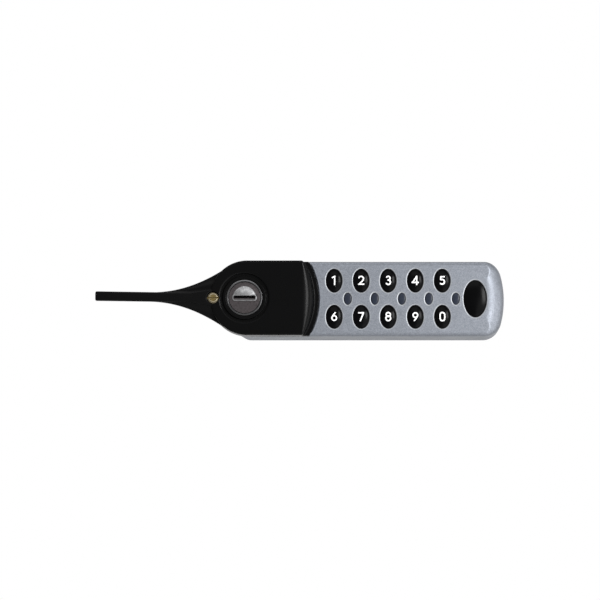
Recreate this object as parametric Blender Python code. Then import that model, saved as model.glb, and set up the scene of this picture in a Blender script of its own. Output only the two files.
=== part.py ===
"""Electronic cabinet lock: lever handle with a key cylinder, keypad body, spindle and cam.

The lock is drawn about the handle's axis. There x runs along the body towards the
keypad, y runs up the door and z stands out from the door's face. The lock_frame
empty then turns that frame upright, so that the door lies in the world's XZ plane
and the keypad faces -Y. The world's origin is the middle of the seat on the door.
"""

import math

import bmesh
import bpy
from mathutils import Matrix, Vector

MM = 0.001

# General fits
SEAT_GAP = 0.3 * MM
OVERRUN = 1.0 * MM
DOOR_THICKNESS = 18.0 * MM

# Body shell
BODY_WIDTH = 38.0 * MM
END_FROM_FUNCTION_KEY = 9.1 * MM
DECK_STEP = 3.7 * MM
SIDE_WALL = 2.0 * MM
FACE_WALL = 2.0 * MM
DECK_WALL = 2.3 * MM
END_BOW_RADIUS = 48.0 * MM
CORNER_RADIUS = 9.0 * MM
SIDE_FILLET = 3.0 * MM
END_ROLL = 8.5 * MM
ROLL_LIMIT_SHARE = 0.95
DECK_ARC_GAP = 0.9 * MM
TAPER_DISC_GAP = 0.94 * MM
TAPER_ROUND = 6.0 * MM
TAPER_ANGLE = math.radians(31.0)
NOSE_BACK = 12.0 * MM
SEAT_FROM_AXIS = 84.0 * MM
FILLET_STEPS = 4

# Back plate and what screws it on
PLATE_THICKNESS = 2.0 * MM
PLATE_BOSS_RADIUS = 2.6 * MM
NEAR_BOSS_GAP = 0.4 * MM
NEAR_BOSS_WALL_INSET = 3.2 * MM
FAR_BOSS_END_INSET = 8.3 * MM
FAR_BOSS_SIDE_INSET = 6.5 * MM
SMALL_SCREW_RADIUS = 1.0 * MM
SMALL_SCREW_HEAD_RADIUS = 2.0 * MM
SMALL_SCREW_HEAD_HEIGHT = 1.1 * MM
SMALL_SCREW_LENGTH = 7.0 * MM
SCREW_SLOT_WIDTH = 0.6 * MM
SCREW_SLOT_DEPTH = 0.5 * MM
SCREW_SINK = 0.1 * MM

# Threaded sleeve and nut
SLEEVE_RADIUS = 9.0 * MM
SLEEVE_FLANGE_RADIUS = 12.0 * MM
SLEEVE_FLANGE_THICKNESS = 1.8 * MM
SLEEVE_BEHIND_DOOR = 8.0 * MM
NUT_ACROSS_FLATS = 24.0 * MM
NUT_THICKNESS = 5.0 * MM
NUT_BORE_GAP = 0.2 * MM

# Spindle, clip and lock disc
SPINDLE_RADIUS = 5.0 * MM
SPINDLE_GAP = 0.25 * MM
SPINDLE_SQUARE_SHARE = 0.7
SPINDLE_SHOULDER_RISE = 0.6 * MM
SPINDLE_SOCKET_DEPTH = 3.5 * MM
SPINDLE_THREAD_DEPTH = 8.0 * MM
CLIP_THICKNESS = 1.0 * MM
CLIP_RADIUS = 7.4 * MM
CLIP_GROOVE_DEPTH = 0.8 * MM
CLIP_MOUTH_HALF_ANGLE = math.radians(32.0)
DISC_RADIUS = 12.5 * MM
DISC_THICKNESS = 2.5 * MM
NOTCH_DEPTH = 3.1 * MM

# Cam
CAM_THICKNESS = 2.5 * MM
CAM_EYE_RADIUS = 9.0 * MM
CAM_ARM_WIDTH = 14.0 * MM
CAM_LENGTH = 45.0 * MM
CAM_TIP_RADIUS = 3.0 * MM
CAM_WASHER_RADIUS = 6.0 * MM
CAM_WASHER_THICKNESS = 1.0 * MM
M4_RADIUS = 2.0 * MM
M4_HEAD_RADIUS = 3.5 * MM
M4_HEAD_HEIGHT = 2.2 * MM
M4_LENGTH = 7.0 * MM
M4_DRIVE_ACROSS_FLATS = 2.5 * MM
M4_DRIVE_DEPTH = 1.2 * MM

# Handle
HEAD_THICKNESS = 8.9 * MM
HANDLE_SIDE_INSET = 0.2 * MM
HEAD_ARC_RADIUS = 35.0 * MM
HEAD_CORNER_RADIUS = 1.5 * MM
HEAD_SHOULDER_X = 0.3 * MM
HEAD_SHOULDER_Y = 1.1 * MM
HEAD_EDGE_ROLL = 1.1 * MM
HEAD_END_ROLL = 4.5 * MM
SKIRT_WIDTH = 2.0 * MM
SKIRT_HEIGHT = 2.8 * MM
SKIRT_BITE = 1.5 * MM
HUB_WALL = 1.7 * MM
HUB_FLOOR = 5.0 * MM
LEVER_REACH = 75.0 * MM
BLADE_THICKNESS = 4.8 * MM
BLADE_EDGE = 0.8 * MM
BLADE_TIP_FRONT_RISE = 17.4 * MM
BLADE_TIP_BACK_RISE = 5.4 * MM
RIDGE_MEETS_HEAD_X = 18.8 * MM
FLARE_START_X = 47.5 * MM
FLARE_END_X = 12.5 * MM
FLARE_END_INSET = 5.2 * MM
LEVER_ROOT_X = 8.0 * MM
BACK_RISE_START_X = 22.0 * MM
RIDGE_SPREAD = 3.6 * MM
RIDGE_SPREAD_START_X = 28.0 * MM
FLANK_EDGE_SHARE = 0.36
FLANK_CURVE_POWER = 2.0
FLANK_STEPS = 4
FLARE_STATIONS = 11
BLADE_STATIONS = 3

# Thrust washer under the handle
WASHER_WIDTH = 2.1 * MM
WASHER_THICKNESS = 0.8 * MM

# Key cylinder
CYLINDER_RADIUS = 9.0 * MM
CYLINDER_SINK = 0.1 * MM
CYLINDER_RIM_WIDTH = 0.8 * MM
CYLINDER_RIM_EDGE = 0.2 * MM
COLLAR_WIDTH = 1.7 * MM
COLLAR_SINK = 0.5 * MM
MOAT_WIDTH = 1.5 * MM
MOAT_DEPTH = 1.7 * MM
PLUG_CORE_RADIUS = 5.5 * MM
PLUG_FACE_THICKNESS = 1.6 * MM
PLUG_FACE_SINK = 0.5 * MM
PLUG_GAP = 0.25 * MM
PLUG_DOME_RADIUS = 5.4 * MM
PLUG_DOME_HEIGHT = 0.9 * MM
PLUG_DOME_STEPS = 3
KEY_SLOT_LENGTH = 11.0 * MM
KEY_SLOT_WIDTH = 2.1 * MM
KEY_SLOT_FRAME = 0.55 * MM
KEY_SLOT_FRAME_HEIGHT = 0.5 * MM
KEYWAY_LENGTH = 8.0 * MM
KEYWAY_FLOOR = 2.5 * MM

# Brass screw that keeps the cylinder in the handle
BRASS_FROM_MOAT = 3.4 * MM
BRASS_HEAD_RADIUS = 2.9 * MM
BRASS_HEAD_HEIGHT = 2.2 * MM
BRASS_SHANK_RADIUS = 1.5 * MM
BRASS_SHANK_LENGTH = 4.5 * MM
BRASS_SINK = 0.5 * MM
BRASS_SLOT_WIDTH = 0.8 * MM
BRASS_SLOT_DEPTH = 0.7 * MM

# Keys and windows
KEY_PITCH_X = 13.7 * MM
KEY_FROM_STEP = 3.45 * MM
KEY_SIDE_INSET = 3.9 * MM
KEY_FROM_MIDDLE = 3.3 * MM
KEY_HALF_X = 4.05 * MM
FUNCTION_KEY_HALF_X = 5.8 * MM
FUNCTION_KEY_SIDE_INSET = 9.65 * MM
FUNCTION_KEY_FROM_LENS = 0.75 * MM
KEY_GAP = 0.25 * MM
KEY_RIM = 0.55 * MM
KEY_RIM_DEPTH = 0.4 * MM
KEY_PROUD = 0.3 * MM
KEY_DOME = 0.8 * MM
KEY_DOME_FLAT_SHARE = 0.62
KEY_FLANGE = 0.9 * MM
KEY_FLANGE_THICKNESS = 1.2 * MM
KEY_TRAVEL = 1.0 * MM
KEY_COLUMNS = 5
WINDOW_HALF_X = 1.9 * MM
WINDOW_HALF_Y = 3.0 * MM
WINDOW_GAP = 0.25 * MM
WINDOW_SINK = 0.15 * MM
LENS_BAR_HALF_Y = 1.6 * MM
LENS_BAR_THICKNESS = 1.4 * MM
LENS_BAR_END = 0.5 * MM

# Keypad board, mat and lamps
MAT_THICKNESS = 0.6 * MM
MAT_DOME_RADIUS = 2.2 * MM
MAT_DOME_HEIGHT = 0.9 * MM
BOARD_THICKNESS = 1.6 * MM
BOARD_FROM_STEP_WALL = 1.1 * MM
BOARD_FROM_BOSS = 1.5 * MM
BOARD_SIDE_GAP = 0.8 * MM
BOARD_OVER_CELLS = 1.9 * MM
BOARD_CORNER = 2.0 * MM
POST_RADIUS = 2.0 * MM
POST_SIDE_INSET = 5.0 * MM
POST_COLUMNS = (0, 3)
LAMP_HALF_X = 1.0 * MM
LAMP_HALF_Y = 1.6 * MM
LAMP_HEIGHT = 1.5 * MM
BUZZER_RADIUS = 6.0 * MM
BUZZER_HEIGHT = 3.6 * MM
BUZZER_FROM_BOARD_END = 15.0 * MM
BUZZER_HOLE_RADIUS = 1.0 * MM
BUZZER_HOLE_DEPTH = 1.5 * MM

# Latch: bolt, carrier, motor and pinion
BOLT_NOSE_WIDTH = 5.0 * MM
BOLT_BODY_WIDTH = 7.0 * MM
BOLT_SIDE_GAP = 0.4 * MM
BOLT_DISC_GAP = 0.5 * MM
BOLT_NOSE_LENGTH = 4.5 * MM
BOLT_LENGTH = 21.5 * MM
BOLT_TRAVEL = 3.0 * MM
RACK_MODULE = 0.5 * MM
RACK_WIDTH = 4.0 * MM
PINION_TEETH = 8
PINION_WIDTH = 3.4 * MM
PINION_FROM_CARRIER_END = 8.0 * MM
PINION_SHAFT_RADIUS = 0.75 * MM
ADDENDUM_SHARE = 0.8
DEDENDUM_SHARE = 1.1
TOOTH_PITCH_SHARE = 0.35
TOOTH_TIP_SHARE = 0.2
TOOTH_ROOT_SHARE = 0.46
CARRIER_BOSS_GAP = 0.9 * MM
CARRIER_LENGTH = 20.0 * MM
CARRIER_EAR = 4.6 * MM
CARRIER_WALL = 1.4 * MM
CARRIER_WALL_RISE = 2.8 * MM
CARRIER_TOWER_WIDTH = 7.0 * MM
CARRIER_TOWER_RISE = 2.4 * MM
CARRIER_EAR_SCREW_INSET = 3.2 * MM
MOTOR_TOP_GAP = 1.65 * MM
MOTOR_WALL_GAP = 1.4 * MM
MOTOR_SHAFT_BITE = 2.0 * MM

# Battery holder
CELL_RADIUS = 5.25 * MM
CELL_LENGTH = 44.5 * MM
CELL_NUB_RADIUS = 1.9 * MM
CELL_NUB_LENGTH = 1.0 * MM
CELL_EDGE = 0.5 * MM
TRAY_FLOOR = 0.8 * MM
TRAY_WALL = 1.0 * MM
TRAY_WALL_HEIGHT = 8.0 * MM
TRAY_RIB = 1.2 * MM
TRAY_FROM_BOSS = 1.2 * MM
CONTACT_THICKNESS = 0.5 * MM
CONTACT_HEIGHT = 7.0 * MM
CONTACT_END_INSET = 1.0 * MM

# Anchor stud of the keypad end
STUD_FROM_TRAY = 11.0 * MM
STUD_RADIUS = 3.0 * MM
STUD_FLANGE_RADIUS = 5.0 * MM
STUD_FLANGE_THICKNESS = 1.5 * MM
STUD_SHORT_OF_DOOR = 3.0 * MM
STUD_THREAD_DEPTH = 12.0 * MM

# Facets
FINE_STEPS = 32
ROUND_STEPS = 24
COARSE_STEPS = 20
KEY_STEPS = 20
WINDOW_STEPS = 12
SCREW_STEPS = 10
STEP_ARC_STEPS = 72

# Levels above the door, worked out from the sizes above: cells, board, mat, keys and face
INNER_FLOOR_Z = PLATE_THICKNESS + SEAT_GAP
TRAY_FLOOR_Z = INNER_FLOOR_Z + TRAY_FLOOR
CELL_Z = TRAY_FLOOR_Z + SEAT_GAP + CELL_RADIUS
BOARD_Z = CELL_Z + CELL_RADIUS + BOARD_OVER_CELLS
BOARD_TOP_Z = BOARD_Z + BOARD_THICKNESS
MAT_Z = BOARD_TOP_Z + SEAT_GAP
MAT_TOP_Z = MAT_Z + MAT_THICKNESS
MAT_DOME_TOP_Z = MAT_TOP_Z + MAT_DOME_HEIGHT
FLANGE_Z = MAT_DOME_TOP_Z + SEAT_GAP + KEY_TRAVEL
FLANGE_TOP_Z = FLANGE_Z + KEY_FLANGE_THICKNESS
FACE_UNDER_Z = FLANGE_TOP_Z + SEAT_GAP
FACE_Z = FACE_UNDER_Z + FACE_WALL
DECK_Z = FACE_Z - DECK_STEP
DECK_UNDER_Z = DECK_Z - DECK_WALL

# Levels on the handle's axis, from the plate to the head and from the door to the cam
SLEEVE_TOP_Z = INNER_FLOOR_Z + SLEEVE_FLANGE_THICKNESS
CLIP_Z = SLEEVE_TOP_Z + SEAT_GAP
CLIP_TOP_Z = CLIP_Z + CLIP_THICKNESS
SHOULDER_Z = CLIP_TOP_Z + SPINDLE_SHOULDER_RISE
DISC_Z = SHOULDER_Z + SEAT_GAP
DISC_TOP_Z = DISC_Z + DISC_THICKNESS
HUB_Z = DISC_TOP_Z + SEAT_GAP
HUB_FLOOR_Z = HUB_Z + HUB_FLOOR
SOCKET_Z = HUB_Z + SPINDLE_SOCKET_DEPTH
SPINDLE_TOP_Z = SOCKET_Z - SEAT_GAP
HANDLE_SCREW_Z = HUB_FLOOR_Z + SEAT_GAP
CYLINDER_Z = HANDLE_SCREW_Z + M4_HEAD_HEIGHT + SEAT_GAP
HEAD_Z = DECK_Z + SEAT_GAP
HEAD_TOP_Z = HEAD_Z + HEAD_THICKNESS
CYLINDER_TOP_Z = HEAD_TOP_Z - CYLINDER_SINK
PLUG_TOP_Z = CYLINDER_TOP_Z - PLUG_FACE_SINK
BRASS_TOP_Z = HEAD_TOP_Z - BRASS_SINK
BRASS_SEAT_Z = BRASS_TOP_Z - BRASS_HEAD_HEIGHT
SLEEVE_END_Z = -DOOR_THICKNESS - SLEEVE_BEHIND_DOOR
CAM_SHOULDER_Z = SLEEVE_END_Z - SEAT_GAP
CAM_Z = CAM_SHOULDER_Z - SEAT_GAP
CAM_BACK_Z = CAM_Z - CAM_THICKNESS
SPINDLE_END_Z = CAM_BACK_Z + SEAT_GAP
CAM_WASHER_Z = CAM_BACK_Z - SEAT_GAP
CAM_SCREW_Z = CAM_WASHER_Z - CAM_WASHER_THICKNESS - SEAT_GAP

# Radii and places worked out from the sizes above
STEP_RADIUS = HEAD_ARC_RADIUS + SKIRT_WIDTH + DECK_ARC_GAP
STEP_WALL_RADIUS = STEP_RADIUS + SIDE_WALL
INNER_HALF_Y = BODY_WIDTH / 2 - SIDE_WALL
TAPER_REACH = DISC_RADIUS + TAPER_DISC_GAP + SIDE_WALL
TAPER_START_Y = BODY_WIDTH / 2 - TAPER_ROUND
TAPER_START_X = (math.cos(TAPER_ANGLE) * TAPER_START_Y + TAPER_ROUND - TAPER_REACH) / math.sin(TAPER_ANGLE)
HANDLE_WIDTH = BODY_WIDTH - 2 * HANDLE_SIDE_INSET
HEAD_SHOULDER_RADIUS = HANDLE_WIDTH / 2 - HEAD_SHOULDER_Y
FLARE_END_HALF_WIDTH = HANDLE_WIDTH / 2 - FLARE_END_INSET
CYLINDER_BORE_RADIUS = CYLINDER_RADIUS + SEAT_GAP
HUB_RADIUS = CYLINDER_BORE_RADIUS + HUB_WALL
HUB_HOLE_RADIUS = HUB_RADIUS + SEAT_GAP
WASHER_INNER_RADIUS = HUB_HOLE_RADIUS + SEAT_GAP
WASHER_OUTER_RADIUS = WASHER_INNER_RADIUS + WASHER_WIDTH
COLLAR_RADIUS = CYLINDER_BORE_RADIUS + COLLAR_WIDTH
MOAT_RADIUS = COLLAR_RADIUS + MOAT_WIDTH
BRASS_SCREW_X = MOAT_RADIUS + BRASS_FROM_MOAT
SMALL_HOLE_RADIUS = SMALL_SCREW_RADIUS + SEAT_GAP
M4_HOLE_RADIUS = M4_RADIUS + SEAT_GAP
SPINDLE_HALF_SQUARE = SPINDLE_SQUARE_SHARE * SPINDLE_RADIUS
SOCKET_HALF_SQUARE = SPINDLE_HALF_SQUARE + SEAT_GAP
BOLT_NOSE_X = DISC_RADIUS + BOLT_DISC_GAP
BOLT_TAIL_X = BOLT_NOSE_X + BOLT_LENGTH
BOLT_Z = DISC_Z
BOLT_TOP_Z = DISC_TOP_Z
RACK_PITCH = math.pi * RACK_MODULE
ADDENDUM = ADDENDUM_SHARE * RACK_MODULE
DEDENDUM = DEDENDUM_SHARE * RACK_MODULE
RACK_PITCH_Z = BOLT_TOP_Z + DEDENDUM
PINION_RADIUS = RACK_MODULE * PINION_TEETH / 2
PINION_Z = RACK_PITCH_Z + PINION_RADIUS
NEAR_BOSS_X = DISC_RADIUS + NEAR_BOSS_GAP + PLATE_BOSS_RADIUS
NEAR_BOSS_Y = INNER_HALF_Y - NEAR_BOSS_WALL_INSET
CARRIER_X = NEAR_BOSS_X + PLATE_BOSS_RADIUS + CARRIER_BOSS_GAP
CARRIER_END_X = CARRIER_X + CARRIER_LENGTH
PINION_X = CARRIER_X + PINION_FROM_CARRIER_END
CHANNEL_HALF_Y = BOLT_BODY_WIDTH / 2 + BOLT_SIDE_GAP
CARRIER_FLOOR_Z = BOLT_Z - SEAT_GAP
MOTOR_Y = CHANNEL_HALF_Y + CARRIER_WALL + SEAT_GAP
MOTOR_END_Y = INNER_HALF_Y - MOTOR_WALL_GAP
MOTOR_LENGTH = MOTOR_END_Y - MOTOR_Y
MOTOR_RADIUS = DECK_UNDER_Z - MOTOR_TOP_GAP - PINION_Z
MOTOR_BED_Z = PINION_Z - MOTOR_RADIUS - SEAT_GAP
KEY_ROW_Y = (BODY_WIDTH / 2 - KEY_SIDE_INSET + KEY_FROM_MIDDLE) / 2
KEY_HALF_Y = (BODY_WIDTH / 2 - KEY_SIDE_INSET - KEY_FROM_MIDDLE) / 2
KEY_FIRST_X = STEP_RADIUS + KEY_FROM_STEP + KEY_HALF_X
KEY_XS = [KEY_FIRST_X + column * KEY_PITCH_X for column in range(KEY_COLUMNS)]
WINDOW_XS = [x + KEY_PITCH_X / 2 for x in KEY_XS]
LENS_END_X = WINDOW_XS[-1] + WINDOW_HALF_X + LENS_BAR_END
FUNCTION_KEY_HALF_Y = BODY_WIDTH / 2 - FUNCTION_KEY_SIDE_INSET
FUNCTION_KEY_X = LENS_END_X + FUNCTION_KEY_FROM_LENS + KEY_FLANGE + FUNCTION_KEY_HALF_X
BODY_END_X = FUNCTION_KEY_X + FUNCTION_KEY_HALF_X + END_FROM_FUNCTION_KEY
FAR_BOSS_X = BODY_END_X - FAR_BOSS_END_INSET
FAR_BOSS_Y = BODY_WIDTH / 2 - FAR_BOSS_SIDE_INSET
BOARD_HALF_Y = INNER_HALF_Y - BOARD_SIDE_GAP
POST_Y = BODY_WIDTH / 2 - POST_SIDE_INSET
BOARD_X = STEP_WALL_RADIUS + BOARD_FROM_STEP_WALL
BOARD_END_X = FAR_BOSS_X - PLATE_BOSS_RADIUS - BOARD_FROM_BOSS
BUZZER_X = BOARD_X + BUZZER_FROM_BOARD_END
TRAY_END_X = FAR_BOSS_X - PLATE_BOSS_RADIUS - TRAY_FROM_BOSS
CELL_BED = CONTACT_THICKNESS + 2 * SEAT_GAP
CELL_END_X = TRAY_END_X - TRAY_WALL - CELL_BED
CELL_X = CELL_END_X - CELL_LENGTH
TRAY_X = CELL_X - CELL_BED - TRAY_WALL
STUD_X = TRAY_X - STUD_FROM_TRAY
CELL_Y = TRAY_RIB / 2 + SEAT_GAP + CELL_RADIUS
TRAY_HALF_Y = CELL_Y + CELL_RADIUS + SEAT_GAP + TRAY_WALL
STUD_END_Z = -DOOR_THICKNESS + STUD_SHORT_OF_DOOR
DIGIT_PLACES = {
    digit: (KEY_XS[(digit - 1) % KEY_COLUMNS], KEY_ROW_Y if 1 <= digit <= KEY_COLUMNS else -KEY_ROW_Y)
    for digit in range(2 * KEY_COLUMNS)
}
PLATE_SCREW_PLACES = {
    "near_top": (NEAR_BOSS_X, NEAR_BOSS_Y),
    "near_bottom": (NEAR_BOSS_X, -NEAR_BOSS_Y),
    "far_top": (FAR_BOSS_X, FAR_BOSS_Y),
    "far_bottom": (FAR_BOSS_X, -FAR_BOSS_Y),
}
POST_PLACES = [(WINDOW_XS[column], side * POST_Y) for column in POST_COLUMNS for side in (1, -1)]
CARRIER_EAR_Y = -(CHANNEL_HALF_Y + CARRIER_WALL + CARRIER_EAR)
CARRIER_SCREW_Y = CARRIER_EAR_Y + CARRIER_EAR / 2
CARRIER_SCREW_XS = [CARRIER_X + CARRIER_EAR_SCREW_INSET, CARRIER_END_X - CARRIER_EAR_SCREW_INSET]

# Finishes: colour, roughness, metallic
FINISHES = {
    "silver_paint": ((0.33, 0.35, 0.39), 0.38, 0.65),
    "black_paint": ((0.012, 0.012, 0.013), 0.34, 0.0),
    "plated_steel": ((0.55, 0.55, 0.54), 0.35, 1.0),
    "zinc_cast": ((0.42, 0.42, 0.43), 0.5, 1.0),
    "cylinder_face": ((0.36, 0.36, 0.37), 0.3, 1.0),
    "brass": ((0.80, 0.58, 0.22), 0.28, 1.0),
    "key_gloss": ((0.008, 0.008, 0.009), 0.12, 0.0),
    "lens_tint": ((0.03, 0.045, 0.075), 0.15, 0.0),
    "silicone": ((0.10, 0.10, 0.11), 0.7, 0.0),
    "board_green": ((0.02, 0.14, 0.06), 0.5, 0.0),
    "white_nylon": ((0.78, 0.78, 0.74), 0.55, 0.0),
    "black_plastic": ((0.02, 0.02, 0.022), 0.5, 0.0),
    "cell_wrap": ((0.05, 0.10, 0.32), 0.35, 0.2),
}


def finish(name):
    """The Principled material of a finish, made the first time it is asked for."""
    if name in bpy.data.materials:
        return bpy.data.materials[name]
    colour, roughness, metallic = FINISHES[name]
    material = bpy.data.materials.new(name)
    material.use_nodes = True
    shader = material.node_tree.nodes["Principled BSDF"]
    shader.inputs["Base Color"].default_value = (*colour, 1.0)
    shader.inputs["Roughness"].default_value = roughness
    shader.inputs["Metallic"].default_value = metallic
    return material


def arc(centre, radius, start, end, steps):
    """Points of an arc with both ends, each with the outward normal there."""
    points = []
    for step in range(steps + 1):
        angle = start + (end - start) * step / steps
        normal = Vector((math.cos(angle), math.sin(angle)))
        points.append((Vector(centre) + radius * normal, normal))
    return points


def oval(half_x, half_y, steps, centre=(0.0, 0.0)):
    """Points of an ellipse, counter-clockwise."""
    turns = (2 * math.pi * step / steps for step in range(steps))
    return [(centre[0] + half_x * math.cos(t), centre[1] + half_y * math.sin(t)) for t in turns]


def circle(radius, steps, centre=(0.0, 0.0)):
    """Points of a circle, counter-clockwise."""
    return oval(radius, radius, steps, centre)


def flats(sides, half_across, steps):
    """Points along a regular polygon, as many as a circle of the same steps has."""
    wedge = 2 * math.pi / sides
    points = []
    for step in range(steps):
        angle = 2 * math.pi * step / steps
        radius = half_across / math.cos((angle + wedge / 2) % wedge - wedge / 2)
        points.append((radius * math.cos(angle), radius * math.sin(angle)))
    return points


def box_outline(low, high):
    """The four corners of an upright rectangle."""
    return [(low[0], low[1]), (high[0], low[1]), (high[0], high[1]), (low[0], high[1])]


def rounded_outline(low, high, radius, steps):
    """A rectangle with round corners."""
    corners = (
        ((high[0] - radius, high[1] - radius), 0.0),
        ((low[0] + radius, high[1] - radius), math.pi / 2),
        ((low[0] + radius, low[1] + radius), math.pi),
        ((high[0] - radius, low[1] + radius), 3 * math.pi / 2),
    )
    points = []
    for centre, start in corners:
        points += [tuple(p) for p, _ in arc(centre, radius, start, start + math.pi / 2, steps)]
    return points


def at(outline, z):
    """An outline as a ring at one height."""
    return [(x, y, z) for x, y in outline]


def skin(mesh, rings, closed=False):
    """Skin a stack of equal rings. An open stack is capped, a closed one returns to its start."""
    loops = [[mesh.verts.new(point) for point in ring] for ring in rings]
    pairs = list(zip(loops, loops[1:]))
    if closed:
        pairs.append((loops[-1], loops[0]))
    count = len(loops[0])
    for lower, upper in pairs:
        for i in range(count):
            j = (i + 1) % count
            mesh.faces.new((lower[i], lower[j], upper[j], upper[i]))
    if not closed:
        mesh.faces.new(reversed(loops[0]))
        mesh.faces.new(loops[-1])
    return mesh


def turned(mesh, profile, steps, centre=(0.0, 0.0), closed=False):
    """Turn a profile of (radius, height) pairs about an upright axis."""
    return skin(mesh, [at(circle(r, steps, centre), z) for r, z in profile], closed)


def prism(mesh, outline, low, high):
    """Raise an outline between two heights."""
    return skin(mesh, [at(outline, low), at(outline, high)])


def solid(name, mesh):
    """An object in the lock's own frame."""
    data = bpy.data.meshes.new(name)
    mesh.normal_update()
    mesh.to_mesh(data)
    mesh.free()
    piece = bpy.data.objects.new(name, data)
    bpy.context.scene.collection.objects.link(piece)
    return piece


def combine(piece, tool_mesh, operation):
    """Cut, join or trim a piece with a tool that is used up."""
    tool = solid(piece.name + "_tool", tool_mesh)
    modifier = piece.modifiers.new(operation.title(), "BOOLEAN")
    modifier.operation = operation
    modifier.solver = "EXACT"
    modifier.object = tool
    bpy.context.view_layer.update()
    graph = bpy.context.evaluated_depsgraph_get()
    result = bpy.data.meshes.new_from_object(piece.evaluated_get(graph))
    piece.modifiers.remove(modifier)
    before = piece.data
    piece.data = result
    bpy.data.meshes.remove(before)
    bpy.data.meshes.remove(tool.data)
    return piece


def cut(piece, tool_mesh):
    """Take a tool's shape out of a piece."""
    return combine(piece, tool_mesh, "DIFFERENCE")


def join(piece, tool_mesh):
    """Join a second shape to a piece."""
    return combine(piece, tool_mesh, "UNION")


def turn_mesh(mesh, matrix):
    """Move every point of a mesh by a matrix."""
    bmesh.ops.transform(mesh, matrix=matrix, verts=mesh.verts)
    return mesh


def along_y(origin):
    """Lay an upright shape's axis along +y, starting at the origin given."""
    return Matrix.Translation(origin) @ Matrix.Rotation(-math.pi / 2, 4, "X")


def along_x(origin):
    """Lay an upright shape's axis along +x, starting at the origin given."""
    return Matrix.Translation(origin) @ Matrix.Rotation(math.pi / 2, 4, "Y")


def mirrored(upper):
    """Complete an outline that is symmetric about y = 0 from its upper half."""
    lower = [(Vector((p.x, -p.y)), Vector((n.x, -n.y)), s) for p, n, s in reversed(upper) if abs(p.y) > 0]
    return upper + lower


def body_outline():
    """Plan of the body: bowed end, round corners, straight sides and a tapered nose.

    Each point comes with its outward normal and its share of the end's larger roll.
    """
    half = BODY_WIDTH / 2
    corner_y = half - CORNER_RADIUS
    bow_x = BODY_END_X - END_BOW_RADIUS
    corner_x = bow_x + math.sqrt((END_BOW_RADIUS - CORNER_RADIUS) ** 2 - corner_y**2)
    turn = math.atan2(corner_y, corner_x - bow_x)
    across = Vector((-math.sin(TAPER_ANGLE), math.cos(TAPER_ANGLE)))
    shoulder = (TAPER_START_X, TAPER_START_Y)
    nose = Vector((-NOSE_BACK, 0.0))
    nose_radius = TAPER_REACH - across.dot(nose)
    leaning = math.pi / 2 + TAPER_ANGLE
    upper = [(p, n, 1.0) for p, n in arc((bow_x, 0.0), END_BOW_RADIUS, 0.0, turn, 4)]
    upper[0] = (Vector((BODY_END_X, 0.0)), upper[0][1], 1.0)
    for p, n in arc((corner_x, corner_y), CORNER_RADIUS, turn, math.pi / 2, 10)[1:]:
        passed = (math.atan2(n.y, n.x) - turn) / (math.pi / 2 - turn)
        upper.append((p, n, 0.5 + 0.5 * math.cos(math.pi * passed)))
    upper += [(p, n, 0.0) for p, n in arc(shoulder, TAPER_ROUND, math.pi / 2, leaning, 3)]
    upper += [(p, n, 0.0) for p, n in arc(nose, nose_radius, leaning, math.pi, 6)]
    last_point, last_normal, last_share = upper[-1]
    upper[-1] = (Vector((last_point.x, 0.0)), last_normal, last_share)
    return mirrored(upper)


def inset_points(outline, amount):
    """The outline's points, moved inwards."""
    return [tuple(p - n * amount) for p, n, _ in outline]


def rolled_stack(outline, inset, bottom, top, plain_roll, end_roll, steps):
    """Rings up a wall and over its rolled front edge, whose radius grows with each point's share."""
    rings = [[(*(p - n * inset), bottom) for p, n, _ in outline]]
    for step in range(steps + 1):
        angle = math.pi / 2 * step / steps
        ring = []
        for p, n, share in outline:
            roll = plain_roll + (end_roll - plain_roll) * share
            place = p - n * (inset + roll * (1 - math.cos(angle)))
            ring.append((*place, top - roll * (1 - math.sin(angle))))
        rings.append(ring)
    return rings


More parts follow.
